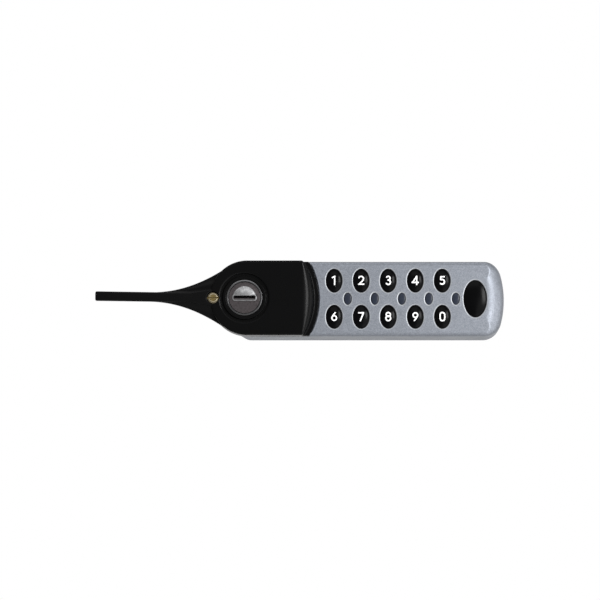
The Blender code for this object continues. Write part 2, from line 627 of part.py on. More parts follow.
def housing():
    """Die-cast shell: keypad box, lower deck under the handle, bosses and key holes."""
    outline = body_outline()
    end_roll = min(END_ROLL, ROLL_LIMIT_SHARE * CORNER_RADIUS)
    shell_rings = rolled_stack(outline, 0.0, 0.0, FACE_Z, SIDE_FILLET, end_roll, FILLET_STEPS)
    shell = solid("housing", skin(bmesh.new(), shell_rings))
    step = [(STEP_RADIUS, DECK_Z), (STEP_RADIUS, FACE_Z + OVERRUN)]
    cut(shell, turned(bmesh.new(), step, STEP_ARC_STEPS))

    inner_side = max(SIDE_FILLET - SIDE_WALL, SEAT_GAP)
    inner_end = max(end_roll - SIDE_WALL, SEAT_GAP)
    hollow_rings = rolled_stack(outline, SIDE_WALL, -OVERRUN, FACE_UNDER_Z, inner_side, inner_end, 2)
    hollow = solid("hollow", skin(bmesh.new(), hollow_rings))
    kept = turned(bmesh.new(), [(STEP_WALL_RADIUS, DECK_UNDER_Z), (STEP_WALL_RADIUS, FACE_Z)], STEP_ARC_STEPS)
    cut(hollow, kept)
    pillars = bmesh.new()
    for place in PLATE_SCREW_PLACES.values():
        turned(pillars, [(PLATE_BOSS_RADIUS, INNER_FLOOR_Z), (PLATE_BOSS_RADIUS, FACE_Z)], WINDOW_STEPS, place)
    for place in POST_PLACES:
        turned(pillars, [(POST_RADIUS, BOARD_TOP_Z + SEAT_GAP), (POST_RADIUS, FACE_Z)], SCREW_STEPS, place)
    cut(hollow, pillars)
    hollow_mesh = bmesh.new()
    hollow_mesh.from_mesh(hollow.data)
    bpy.data.meshes.remove(hollow.data)
    cut(shell, hollow_mesh)

    holes = bmesh.new()
    for x, y in DIGIT_PLACES.values():
        rimmed_hole(holes, (x, y), KEY_HALF_X + KEY_GAP, KEY_HALF_Y + KEY_GAP, KEY_STEPS)
    big = (FUNCTION_KEY_HALF_X + KEY_GAP, FUNCTION_KEY_HALF_Y + KEY_GAP)
    rimmed_hole(holes, (FUNCTION_KEY_X, 0.0), *big, KEY_STEPS)
    for x in WINDOW_XS:
        rimmed_hole(holes, (x, 0.0), WINDOW_HALF_X + WINDOW_GAP, WINDOW_HALF_Y + WINDOW_GAP, WINDOW_STEPS)
    recess_z = DECK_Z - WASHER_THICKNESS - SEAT_GAP
    recess_radius = WASHER_OUTER_RADIUS + SEAT_GAP
    hub_hole = [(HUB_HOLE_RADIUS, DECK_UNDER_Z - OVERRUN), (HUB_HOLE_RADIUS, recess_z)]
    hub_hole += [(recess_radius, recess_z), (recess_radius, DECK_Z + OVERRUN)]
    turned(holes, hub_hole, FINE_STEPS)
    for place in PLATE_SCREW_PLACES.values():
        depth = INNER_FLOOR_Z + SMALL_SCREW_LENGTH
        bore = [(SMALL_HOLE_RADIUS, INNER_FLOOR_Z - OVERRUN), (SMALL_HOLE_RADIUS, depth)]
        turned(holes, bore, SCREW_STEPS, place)
    for place in POST_PLACES:
        foot = BOARD_TOP_Z + SEAT_GAP - OVERRUN
        bore = [(SMALL_HOLE_RADIUS, foot), (SMALL_HOLE_RADIUS, FACE_UNDER_Z)]
        turned(holes, bore, SCREW_STEPS, place)
    cut(shell, holes)
    return shell


def rimmed_hole(mesh, place, half_x, half_y, steps):
    """Cutter of an oval hole in the face with a chamfered rim."""
    rim_z = FACE_Z - KEY_RIM_DEPTH
    past = OVERRUN / KEY_RIM_DEPTH * KEY_RIM
    skin(
        mesh,
        [
            at(oval(half_x, half_y, steps, place), FACE_UNDER_Z - OVERRUN),
            at(oval(half_x, half_y, steps, place), rim_z),
            at(oval(half_x + KEY_RIM + past, half_y + KEY_RIM + past, steps, place), FACE_Z + OVERRUN),
        ],
    )


def back_plate():
    """Flat steel cover of the shell's back, with its screw, sleeve and stud holes."""
    plate_outline = inset_points(body_outline(), SIDE_WALL + SEAT_GAP)
    plate = solid("back_plate", prism(bmesh.new(), plate_outline, 0.0, PLATE_THICKNESS))
    holes = bmesh.new()
    sleeve_hole = SLEEVE_RADIUS + SEAT_GAP
    turned(holes, [(sleeve_hole, -OVERRUN), (sleeve_hole, PLATE_THICKNESS + OVERRUN)], ROUND_STEPS)
    stud_hole = STUD_RADIUS + SEAT_GAP
    stud_bore = [(stud_hole, -OVERRUN), (stud_hole, PLATE_THICKNESS + OVERRUN)]
    turned(holes, stud_bore, COARSE_STEPS, (STUD_X, 0.0))
    sink_radius = SMALL_SCREW_HEAD_RADIUS + SEAT_GAP
    sink_z = SCREW_SINK + SMALL_SCREW_HEAD_HEIGHT + SEAT_GAP
    for place in PLATE_SCREW_PLACES.values():
        sunk = [(sink_radius, -OVERRUN), (sink_radius, sink_z), (SMALL_HOLE_RADIUS, sink_z)]
        sunk.append((SMALL_HOLE_RADIUS, PLATE_THICKNESS + OVERRUN))
        turned(holes, sunk, WINDOW_STEPS, place)
    for x in CARRIER_SCREW_XS:
        blind = [(SMALL_HOLE_RADIUS, PLATE_THICKNESS / 4), (SMALL_HOLE_RADIUS, PLATE_THICKNESS + OVERRUN)]
        turned(holes, blind, SCREW_STEPS, (x, CARRIER_SCREW_Y))
    return cut(plate, holes)


def small_screw(name, place, seat_z, length, pointing):
    """Slotted pan screw whose head rests at seat_z and whose shank points up or down."""
    head_far = seat_z - pointing * SMALL_SCREW_HEAD_HEIGHT
    tip = seat_z + pointing * length
    profile = [(SMALL_SCREW_HEAD_RADIUS, head_far), (SMALL_SCREW_HEAD_RADIUS, seat_z)]
    profile += [(SMALL_SCREW_RADIUS, seat_z), (SMALL_SCREW_RADIUS, tip)]
    if pointing < 0:
        profile.reverse()
    screw = solid(name, turned(bmesh.new(), profile, SCREW_STEPS, place))
    slot = bmesh.new()
    low = (place[0] - SMALL_SCREW_HEAD_RADIUS - OVERRUN, place[1] - SCREW_SLOT_WIDTH / 2)
    high = (place[0] + SMALL_SCREW_HEAD_RADIUS + OVERRUN, place[1] + SCREW_SLOT_WIDTH / 2)
    floor = head_far + pointing * SCREW_SLOT_DEPTH
    outside = head_far - pointing * OVERRUN
    prism(slot, box_outline(low, high), min(floor, outside), max(floor, outside))
    return cut(screw, slot)


def plate_screw(name, place):
    """Screw from behind the plate into a boss of the shell."""
    seat_z = SCREW_SINK + SMALL_SCREW_HEAD_HEIGHT
    length = SMALL_SCREW_LENGTH + INNER_FLOOR_Z - seat_z - SEAT_GAP
    return small_screw(name, place, seat_z, length, 1)


def board_screw(name, place):
    """Screw from under the board into a post of the shell."""
    length = FACE_UNDER_Z - BOARD_Z
    return small_screw(name, place, BOARD_Z - SEAT_GAP, length, 1)


def carrier_screw(name, place):
    """Screw through the carrier's ear into the plate."""
    seat_z = CARRIER_FLOOR_Z + SEAT_GAP
    length = seat_z - PLATE_THICKNESS / 4 - SEAT_GAP
    return small_screw(name, place, seat_z, length, -1)


def mounting_sleeve():
    """Sleeve that passes through the door and carries the spindle."""
    bore = SPINDLE_RADIUS + SPINDLE_GAP
    profile = [
        (SLEEVE_RADIUS, SLEEVE_END_Z),
        (SLEEVE_RADIUS, INNER_FLOOR_Z),
        (SLEEVE_FLANGE_RADIUS, INNER_FLOOR_Z),
        (SLEEVE_FLANGE_RADIUS, SLEEVE_TOP_Z),
        (bore, SLEEVE_TOP_Z),
        (bore, SLEEVE_END_Z),
    ]
    return solid("mounting_sleeve", turned(bmesh.new(), profile, ROUND_STEPS, closed=True))


def mounting_nut():
    """Hexagon nut on the sleeve, at the door's inner face."""
    hexagon = flats(6, NUT_ACROSS_FLATS / 2, ROUND_STEPS)
    bore = circle(SLEEVE_RADIUS + NUT_BORE_GAP, ROUND_STEPS)
    low = -DOOR_THICKNESS - NUT_THICKNESS
    high = -DOOR_THICKNESS
    rings = [at(hexagon, low), at(hexagon, high), at(bore, high), at(bore, low)]
    return solid("mounting_nut", skin(bmesh.new(), rings, closed=True))


def spindle():
    """Round shaft with a square and a thread at each end, and a groove for its clip."""
    square = flats(4, SPINDLE_HALF_SQUARE, ROUND_STEPS)
    thread = circle(M4_HOLE_RADIUS, ROUND_STEPS)
    shaft = circle(SPINDLE_RADIUS, ROUND_STEPS)
    groove = circle(SPINDLE_RADIUS - CLIP_GROOVE_DEPTH, ROUND_STEPS)
    rings = [
        at(thread, SPINDLE_END_Z + SPINDLE_THREAD_DEPTH),
        at(thread, SPINDLE_END_Z),
        at(square, SPINDLE_END_Z),
        at(square, CAM_SHOULDER_Z),
        at(shaft, CAM_SHOULDER_Z),
        at(shaft, CLIP_Z - SEAT_GAP / 2),
        at(groove, CLIP_Z - SEAT_GAP / 2),
        at(groove, CLIP_TOP_Z + SEAT_GAP),
        at(shaft, CLIP_TOP_Z + SEAT_GAP),
        at(shaft, SHOULDER_Z),
        at(square, SHOULDER_Z),
        at(square, SPINDLE_TOP_Z),
        at(thread, SPINDLE_TOP_Z),
        at(thread, SPINDLE_TOP_Z - SPINDLE_THREAD_DEPTH),
    ]
    return solid("spindle", skin(bmesh.new(), rings))


def spindle_clip():
    """Open retaining ring in the spindle's groove."""
    start = CLIP_MOUTH_HALF_ANGLE
    end = 2 * math.pi - CLIP_MOUTH_HALF_ANGLE
    inner_radius = SPINDLE_RADIUS - CLIP_GROOVE_DEPTH + SEAT_GAP
    outer = [tuple(p) for p, _ in arc((0.0, 0.0), CLIP_RADIUS, start, end, COARSE_STEPS)]
    inner = [tuple(p) for p, _ in arc((0.0, 0.0), inner_radius, end, start, COARSE_STEPS)]
    return solid("spindle_clip", prism(bmesh.new(), outer + inner, CLIP_Z, CLIP_TOP_Z))


def lock_disc():
    """Disc on the spindle's square, with a notch for the bolt at both ends of the handle's turn."""
    rim = circle(DISC_RADIUS, FINE_STEPS)
    socket = flats(4, SOCKET_HALF_SQUARE, FINE_STEPS)
    rings = [at(rim, DISC_Z), at(rim, DISC_TOP_Z), at(socket, DISC_TOP_Z), at(socket, DISC_Z)]
    disc = solid("lock_disc", skin(bmesh.new(), rings, closed=True))
    half = BOLT_NOSE_WIDTH / 2 + BOLT_SIDE_GAP
    floor = DISC_RADIUS - NOTCH_DEPTH
    slot = box_outline((floor, -half), (DISC_RADIUS + OVERRUN, half))
    for turn in (0.0, -math.pi / 2):
        notch = prism(bmesh.new(), slot, DISC_Z - OVERRUN, DISC_TOP_Z + OVERRUN)
        cut(disc, turn_mesh(notch, Matrix.Rotation(turn, 4, "Z")))
    return disc


def thrust_washer():
    """Nylon ring that the handle turns on, in its recess in the deck."""
    low = DECK_Z - WASHER_THICKNESS
    profile = [(WASHER_OUTER_RADIUS, low), (WASHER_OUTER_RADIUS, DECK_Z)]
    profile += [(WASHER_INNER_RADIUS, DECK_Z), (WASHER_INNER_RADIUS, low)]
    return solid("thrust_washer", turned(bmesh.new(), profile, FINE_STEPS, closed=True))


def head_outline():
    """Plan of the handle's head: arc towards the keypad, straight sides and round shoulders."""
    half = HANDLE_WIDTH / 2
    corner_y = half - HEAD_CORNER_RADIUS
    reach = HEAD_ARC_RADIUS - HEAD_CORNER_RADIUS
    corner_x = math.sqrt(reach**2 - corner_y**2)
    turn = math.atan2(corner_y, corner_x)
    upper = []
    for p, n in arc((0.0, 0.0), HEAD_ARC_RADIUS, 0.0, turn, 10):
        upper.append((p, n, 1.0 - (math.atan2(n.y, n.x) / turn) ** 2))
    upper += [(p, n, 0.0) for p, n in arc((corner_x, corner_y), HEAD_CORNER_RADIUS, turn, math.pi / 2, 3)[1:]]
    shoulder = (HEAD_SHOULDER_X, half - HEAD_SHOULDER_RADIUS)
    upper += [(p, n, 0.0) for p, n in arc(shoulder, HEAD_SHOULDER_RADIUS, math.pi / 2, math.pi, 12)]
    upper[0] = (Vector((HEAD_ARC_RADIUS, 0.0)), upper[0][1], upper[0][2])
    return mirrored(upper)


def lever_half_width(x):
    """Half the lever's width in plan: a plain blade that flares in a parabola to the head."""
    flare = min(max((x + FLARE_START_X) / (FLARE_START_X - FLARE_END_X), 0.0), 1.0)
    blade = BLADE_THICKNESS / 2
    return blade + (FLARE_END_HALF_WIDTH - blade) * flare**2


def lever_section(x, inset):
    """Ring across the lever at x, looking along it: flat back, hollow flanks and a ridge."""
    outwards = (-x - RIDGE_MEETS_HEAD_X) / (LEVER_REACH - RIDGE_MEETS_HEAD_X)
    front = HEAD_TOP_Z + (HEAD_Z + BLADE_TIP_FRONT_RISE - HEAD_TOP_Z) * outwards - inset
    lift = max((-x - BACK_RISE_START_X) / (LEVER_REACH - BACK_RISE_START_X), 0.0)
    back = HEAD_Z + BLADE_TIP_BACK_RISE * lift + inset
    width = lever_half_width(x) - inset
    spread = max((x + RIDGE_SPREAD_START_X) / (RIDGE_SPREAD_START_X - LEVER_ROOT_X), 0.0)
    ridge = BLADE_THICKNESS / 2 - inset + RIDGE_SPREAD * spread
    edge = BLADE_EDGE
    flank_low = back + FLANK_EDGE_SHARE * (front - back)
    flank_high = front - edge
    side = [(width - edge, back), (width, back + edge)]
    for step in range(FLANK_STEPS + 1):
        share = step / FLANK_STEPS
        rise = share**FLANK_CURVE_POWER
        side.append((width + (ridge - width) * share, flank_low + (flank_high - flank_low) * rise))
    side.append((ridge - edge, front))
    return [(x, y, z) for y, z in side] + [(x, -y, z) for y, z in reversed(side)]


def lever_rings():
    """Sections from the blade's tip to the root that is buried in the head."""
    rings = [lever_section(-LEVER_REACH, BLADE_EDGE), lever_section(-LEVER_REACH + BLADE_EDGE, 0.0)]
    for station in range(1, BLADE_STATIONS):
        share = station / BLADE_STATIONS
        rings.append(lever_section(-LEVER_REACH + (LEVER_REACH - FLARE_START_X) * share, 0.0))
    for station in range(FLARE_STATIONS + 1):
        share = station / FLARE_STATIONS
        rings.append(lever_section(-FLARE_START_X + (FLARE_START_X - FLARE_END_X) * share, 0.0))
    rings.append(lever_section(-LEVER_ROOT_X, 0.0))
    return rings


def handle():
    """Die-cast handle: head with its skirt and hub, and the lever blade."""
    outline = head_outline()
    head_rings = rolled_stack(outline, 0.0, HEAD_Z, HEAD_TOP_Z, HEAD_EDGE_ROLL, HEAD_END_ROLL, 3)
    piece = solid("handle", skin(bmesh.new(), head_rings))
    join(piece, skin(bmesh.new(), lever_rings()))

    turn = math.asin((HANDLE_WIDTH / 2 - HEAD_EDGE_ROLL) / (HEAD_ARC_RADIUS + SKIRT_WIDTH))
    outer = arc((0.0, 0.0), HEAD_ARC_RADIUS + SKIRT_WIDTH, -turn, turn, ROUND_STEPS)
    inner = arc((0.0, 0.0), HEAD_ARC_RADIUS - SKIRT_BITE, turn, -turn, ROUND_STEPS)
    skirt = [tuple(p) for p, _ in outer] + [tuple(p) for p, _ in inner]
    join(piece, prism(bmesh.new(), skirt, HEAD_Z, HEAD_Z + SKIRT_HEIGHT))
    hub = turned(bmesh.new(), [(HUB_RADIUS, HUB_Z), (HUB_RADIUS, HEAD_Z + OVERRUN)], FINE_STEPS)
    join(piece, hub)

    moat_z = HEAD_TOP_Z - MOAT_DEPTH
    collar_z = HEAD_TOP_Z - COLLAR_SINK
    front = [
        (CYLINDER_BORE_RADIUS, HUB_FLOOR_Z),
        (CYLINDER_BORE_RADIUS, collar_z),
        (COLLAR_RADIUS, collar_z),
        (COLLAR_RADIUS, moat_z),
        (MOAT_RADIUS, moat_z),
        (MOAT_RADIUS, HEAD_TOP_Z + OVERRUN),
    ]
    cut(piece, turned(bmesh.new(), front, FINE_STEPS))
    below = bmesh.new()
    socket = flats(4, SOCKET_HALF_SQUARE, ROUND_STEPS)
    screw_hole = circle(M4_HOLE_RADIUS, ROUND_STEPS)
    steps = [at(socket, HUB_Z - OVERRUN), at(socket, SOCKET_Z)]
    steps += [at(screw_hole, SOCKET_Z), at(screw_hole, HUB_FLOOR_Z + OVERRUN)]
    skin(below, steps)
    cut(piece, below)
    pocket_radius = BRASS_HEAD_RADIUS + SEAT_GAP
    shank_radius = BRASS_SHANK_RADIUS + SEAT_GAP
    pocket_z = BRASS_SEAT_Z - SEAT_GAP
    pocket = [
        (shank_radius, BRASS_SEAT_Z - BRASS_SHANK_LENGTH - SEAT_GAP),
        (shank_radius, pocket_z),
        (pocket_radius, pocket_z),
        (pocket_radius, HEAD_TOP_Z + OVERRUN),
    ]
    return cut(piece, turned(bmesh.new(), pocket, COARSE_STEPS, (-BRASS_SCREW_X, 0.0)))


def socket_screw(name, seat_z, pointing):
    """M4 screw on the spindle's axis whose head has a hexagon socket."""
    drive = flats(6, M4_DRIVE_ACROSS_FLATS / 2, COARSE_STEPS)
    head = circle(M4_HEAD_RADIUS, COARSE_STEPS)
    shank = circle(M4_RADIUS, COARSE_STEPS)
    head_far = seat_z - pointing * M4_HEAD_HEIGHT
    rings = [
        at(drive, head_far + pointing * M4_DRIVE_DEPTH),
        at(drive, head_far),
        at(head, head_far),
        at(head, seat_z),
        at(shank, seat_z),
        at(shank, seat_z + pointing * M4_LENGTH),
    ]
    if pointing < 0:
        rings.reverse()
    return solid(name, skin(bmesh.new(), rings))


def cylinder_body():
    """Fixed barrel of the key cylinder with its bright rim."""
    bore = PLUG_CORE_RADIUS + PLUG_GAP
    mouth = CYLINDER_RADIUS - CYLINDER_RIM_WIDTH
    ledge_z = PLUG_TOP_Z - PLUG_FACE_THICKNESS - SEAT_GAP
    edge_z = CYLINDER_TOP_Z - CYLINDER_RIM_EDGE
    profile = [
        (CYLINDER_RADIUS, CYLINDER_Z),
        (CYLINDER_RADIUS, edge_z),
        (CYLINDER_RADIUS - CYLINDER_RIM_EDGE, CYLINDER_TOP_Z),
        (mouth + CYLINDER_RIM_EDGE, CYLINDER_TOP_Z),
        (mouth, edge_z),
        (mouth, ledge_z),
        (bore, ledge_z),
        (bore, CYLINDER_Z),
    ]
    return solid("cylinder_body", turned(bmesh.new(), profile, FINE_STEPS, closed=True))


def stadium(length, width, steps):
    """Outline with two straight sides and round ends."""
    reach = (length - width) / 2
    right = arc((reach, 0.0), width / 2, -math.pi / 2, math.pi / 2, steps)
    left = arc((-reach, 0.0), width / 2, math.pi / 2, 3 * math.pi / 2, steps)
    return [tuple(p) for p, _ in right + left]


def key_plug():
    """Turning core of the cylinder: face disc, dome, framed slot and keyway."""
    face = CYLINDER_RADIUS - CYLINDER_RIM_WIDTH - PLUG_GAP
    under = PLUG_TOP_Z - PLUG_FACE_THICKNESS
    profile = [(PLUG_CORE_RADIUS, CYLINDER_Z), (PLUG_CORE_RADIUS, under), (face, under)]
    profile += [(face, PLUG_TOP_Z), (PLUG_DOME_RADIUS, PLUG_TOP_Z)]
    for step in range(1, PLUG_DOME_STEPS + 1):
        angle = math.pi / 2 * step / (PLUG_DOME_STEPS + 1)
        height = PLUG_TOP_Z + PLUG_DOME_HEIGHT * math.sin(angle)
        profile.append((PLUG_DOME_RADIUS * math.cos(angle), height))
    plug = solid("key_plug", turned(bmesh.new(), profile, FINE_STEPS))
    frame = stadium(KEY_SLOT_LENGTH + 2 * KEY_SLOT_FRAME, KEY_SLOT_WIDTH + 2 * KEY_SLOT_FRAME, 5)
    frame_top = PLUG_TOP_Z + KEY_SLOT_FRAME_HEIGHT
    join(plug, prism(bmesh.new(), frame, under + SEAT_GAP, frame_top))
    mouth = stadium(KEY_SLOT_LENGTH, KEY_SLOT_WIDTH, 5)
    cut(plug, prism(bmesh.new(), mouth, under + SEAT_GAP, CYLINDER_TOP_Z + OVERRUN))
    keyway = box_outline((-KEYWAY_LENGTH / 2, -KEY_SLOT_WIDTH / 2), (KEYWAY_LENGTH / 2, KEY_SLOT_WIDTH / 2))
    cut(plug, prism(bmesh.new(), keyway, CYLINDER_Z + KEYWAY_FLOOR, PLUG_TOP_Z))
    return plug


def retaining_screw():
    """Slotted brass screw that keeps the cylinder in the handle."""
    profile = [
        (BRASS_SHANK_RADIUS, BRASS_SEAT_Z - BRASS_SHANK_LENGTH),
        (BRASS_SHANK_RADIUS, BRASS_SEAT_Z),
        (BRASS_HEAD_RADIUS, BRASS_SEAT_Z),
        (BRASS_HEAD_RADIUS, BRASS_TOP_Z),
    ]
    place = (-BRASS_SCREW_X, 0.0)
    screw = solid("retaining_screw", turned(bmesh.new(), profile, COARSE_STEPS, place))
    reach = BRASS_HEAD_RADIUS + OVERRUN
    half = BRASS_SLOT_WIDTH / 2
    slot = box_outline((place[0] - reach, -half), (place[0] + reach, half))
    return cut(screw, prism(bmesh.new(), slot, BRASS_TOP_Z - BRASS_SLOT_DEPTH, BRASS_TOP_Z + OVERRUN))


def cam():
    """Flat latch arm on the spindle's end, behind the body."""
    half = CAM_ARM_WIDTH / 2
    meet = math.asin(half / CAM_EYE_RADIUS)
    eye = arc((0.0, 0.0), CAM_EYE_RADIUS, meet, 2 * math.pi - meet, COARSE_STEPS)
    tip_x = CAM_LENGTH - CAM_TIP_RADIUS
    tip_y = half - CAM_TIP_RADIUS
    low_tip = arc((tip_x, -tip_y), CAM_TIP_RADIUS, -math.pi / 2, 0.0, 4)
    high_tip = arc((tip_x, tip_y), CAM_TIP_RADIUS, 0.0, math.pi / 2, 4)
    outline = [tuple(p) for p, _ in eye + low_tip + high_tip]
    arm = solid("cam", prism(bmesh.new(), outline, CAM_BACK_Z, CAM_Z))
    socket = flats(4, SOCKET_HALF_SQUARE, 4 * FILLET_STEPS)
    return cut(arm, prism(bmesh.new(), socket, CAM_BACK_Z - OVERRUN, CAM_Z + OVERRUN))


def cam_washer():
    """Washer between the cam and its screw."""
    low = CAM_WASHER_Z - CAM_WASHER_THICKNESS
    profile = [(CAM_WASHER_RADIUS, low), (CAM_WASHER_RADIUS, CAM_WASHER_Z)]
    profile += [(M4_HOLE_RADIUS, CAM_WASHER_Z), (M4_HOLE_RADIUS, low)]
    return solid("cam_washer", turned(bmesh.new(), profile, COARSE_STEPS, closed=True))


def push_key(name, place, half_x, half_y):
    """Oval key with a shallow dome and a flange that stops it under the face."""
    low = oval(half_x + KEY_FLANGE, half_y + KEY_FLANGE, KEY_STEPS, place)
    side = oval(half_x, half_y, KEY_STEPS, place)
    crown = oval(half_x * KEY_DOME_FLAT_SHARE, half_y * KEY_DOME_FLAT_SHARE, KEY_STEPS, place)
    edge_z = FACE_Z + KEY_PROUD
    rings = [at(low, FLANGE_Z), at(low, FLANGE_TOP_Z), at(side, FLANGE_TOP_Z), at(side, edge_z)]
    rings.append(at(crown, edge_z + KEY_DOME))
    return solid(name, skin(bmesh.new(), rings))


def lens_strip():
    """Tinted light guide: five oval windows on a bar under the face."""
    low_x = WINDOW_XS[0] - WINDOW_HALF_X - LENS_BAR_END
    bar = box_outline((low_x, -LENS_BAR_HALF_Y), (LENS_END_X, LENS_BAR_HALF_Y))
    bar_z = FLANGE_TOP_Z - LENS_BAR_THICKNESS
    strip = solid("lens_strip", prism(bmesh.new(), bar, bar_z, FLANGE_TOP_Z))
    windows = bmesh.new()
    for x in WINDOW_XS:
        lens = oval(WINDOW_HALF_X, WINDOW_HALF_Y, WINDOW_STEPS, (x, 0.0))
        prism(windows, lens, bar_z + LENS_BAR_THICKNESS / 2, FACE_Z - WINDOW_SINK)
    return join(strip, windows)


def keypad_mat():
    """Silicone mat with a dome under each key and holes for the lamps and posts."""
    sheet = rounded_outline((BOARD_X, -BOARD_HALF_Y), (BOARD_END_X, BOARD_HALF_Y), BOARD_CORNER, 3)
    mat = solid("keypad_mat", prism(bmesh.new(), sheet, MAT_Z, MAT_TOP_Z))
    domes = bmesh.new()
    for place in [*DIGIT_PLACES.values(), (FUNCTION_KEY_X, 0.0)]:
        dome = [(MAT_DOME_RADIUS, MAT_Z + MAT_THICKNESS / 2), (MAT_DOME_RADIUS, MAT_DOME_TOP_Z)]
        turned(domes, dome, WINDOW_STEPS, place)
    join(mat, domes)
    holes = bmesh.new()
    for x in WINDOW_XS:
        low = (x - LAMP_HALF_X - SEAT_GAP, -LAMP_HALF_Y - SEAT_GAP)
        high = (x + LAMP_HALF_X + SEAT_GAP, LAMP_HALF_Y + SEAT_GAP)
        prism(holes, box_outline(low, high), MAT_Z - OVERRUN, MAT_TOP_Z + OVERRUN)
    for place in POST_PLACES:
        clear = POST_RADIUS + SEAT_GAP
        turned(holes, [(clear, MAT_Z - OVERRUN), (clear, MAT_TOP_Z + OVERRUN)], WINDOW_STEPS, place)
    return cut(mat, holes)


def keypad_board():
    """Circuit board under the mat, held by four screws."""
    sheet = rounded_outline((BOARD_X, -BOARD_HALF_Y), (BOARD_END_X, BOARD_HALF_Y), BOARD_CORNER, 3)
    board = solid("keypad_board", prism(bmesh.new(), sheet, BOARD_Z, BOARD_TOP_Z))
    holes = bmesh.new()
    for place in POST_PLACES:
        bore = [(SMALL_HOLE_RADIUS, BOARD_Z - OVERRUN), (SMALL_HOLE_RADIUS, BOARD_TOP_Z + OVERRUN)]
        turned(holes, bore, SCREW_STEPS, place)
    return cut(board, holes)


def lamp(name, x):
    """Light-emitting diode on the board, under a window."""
    outline = box_outline((x - LAMP_HALF_X, -LAMP_HALF_Y), (x + LAMP_HALF_X, LAMP_HALF_Y))
    return solid(name, prism(bmesh.new(), outline, MAT_Z, MAT_Z + LAMP_HEIGHT))


def buzzer():
    """Round sounder under the board with its sound hole."""
    high = BOARD_Z - SEAT_GAP
    low = high - BUZZER_HEIGHT
    profile = [
        (BUZZER_HOLE_RADIUS, low + BUZZER_HOLE_DEPTH),
        (BUZZER_HOLE_RADIUS, low),
        (BUZZER_RADIUS, low),
        (BUZZER_RADIUS, high),
    ]
    return solid("buzzer", turned(bmesh.new(), profile, COARSE_STEPS, (BUZZER_X, 0.0)))


def latch_bolt():
    """Sliding bolt with a nose for the disc's notch and a rack for the pinion."""
    nose = BOLT_NOSE_WIDTH / 2
    half = BOLT_BODY_WIDTH / 2
    shoulder_x = BOLT_NOSE_X + BOLT_NOSE_LENGTH
    outline = [
        (BOLT_NOSE_X, -nose),
        (shoulder_x, -nose),
        (shoulder_x, -half),
        (BOLT_TAIL_X, -half),
        (BOLT_TAIL_X, half),
        (shoulder_x, half),
        (shoulder_x, nose),
        (BOLT_NOSE_X, nose),
    ]
    bolt = solid("latch_bolt", prism(bmesh.new(), outline, BOLT_Z, BOLT_TOP_Z))
    first = math.ceil((shoulder_x + RACK_PITCH / 2 - PINION_X) / RACK_PITCH)
    last = math.floor((BOLT_TAIL_X - RACK_PITCH / 2 - PINION_X) / RACK_PITCH)
    tip_z = RACK_PITCH_Z + ADDENDUM
    bed_z = (BOLT_Z + BOLT_TOP_Z) / 2
    teeth = bmesh.new()
    for gap in range(first, last):
        middle = PINION_X + (gap + 0.5) * RACK_PITCH
        tip = TOOTH_TIP_SHARE * RACK_PITCH / 2
        root = TOOTH_ROOT_SHARE * RACK_PITCH / 2
        side = [(middle - root, bed_z), (middle + root, bed_z), (middle + root, BOLT_TOP_Z)]
        side += [(middle + tip, tip_z), (middle - tip, tip_z), (middle - root, BOLT_TOP_Z)]
        near = [(x, RACK_WIDTH / 2, z) for x, z in side]
        far = [(x, -RACK_WIDTH / 2, z) for x, z in side]
        skin(teeth, [near, far])
    return join(bolt, teeth)


def pinion_ring(radius_of, height):
    """Ring with four points to a tooth, whose first tooth points along -x."""
    tip_radius = PINION_RADIUS + ADDENDUM
    root_radius = PINION_RADIUS - DEDENDUM
    tip = TOOTH_TIP_SHARE * RACK_PITCH / 2 / tip_radius
    root = TOOTH_ROOT_SHARE * RACK_PITCH / 2 / root_radius
    ring = []
    for tooth in range(PINION_TEETH):
        middle = math.pi + 2 * math.pi * tooth / PINION_TEETH
        for angle, radius in ((-root, root_radius), (-tip, tip_radius), (tip, tip_radius), (root, root_radius)):
            reach = radius_of(radius)
            ring.append((reach * math.cos(middle + angle), reach * math.sin(middle + angle), height))
    return ring


def motor_pinion():
    """Toothed wheel on the motor's shaft, in mesh with the bolt's rack."""
    half = PINION_WIDTH / 2
    shaft_end = MOTOR_Y + MOTOR_SHAFT_BITE

    def toothed(radius):
        return radius

    def plain(_):
        return PINION_SHAFT_RADIUS

    stub = half + SEAT_GAP
    rings = [
        pinion_ring(plain, -stub),
        pinion_ring(plain, -half),
        pinion_ring(toothed, -half),
        pinion_ring(toothed, half),
        pinion_ring(plain, half),
        pinion_ring(plain, shaft_end),
    ]
    wheel = skin(bmesh.new(), rings)
    turn_mesh(wheel, Matrix.Rotation(-math.pi / 2, 4, "Z"))
    return solid("motor_pinion", turn_mesh(wheel, along_y((PINION_X, 0.0, PINION_Z))))


def latch_motor():
    """Small can motor that lies across the body and drives the pinion."""
    hole = PINION_SHAFT_RADIUS + SEAT_GAP
    profile = [
        (hole, MOTOR_SHAFT_BITE + SEAT_GAP),
        (hole, 0.0),
        (MOTOR_RADIUS, 0.0),
        (MOTOR_RADIUS, MOTOR_LENGTH),
    ]
    can = turned(bmesh.new(), profile, COARSE_STEPS)
    return solid("latch_motor", turn_mesh(can, along_y((PINION_X, MOTOR_Y, PINION_Z))))


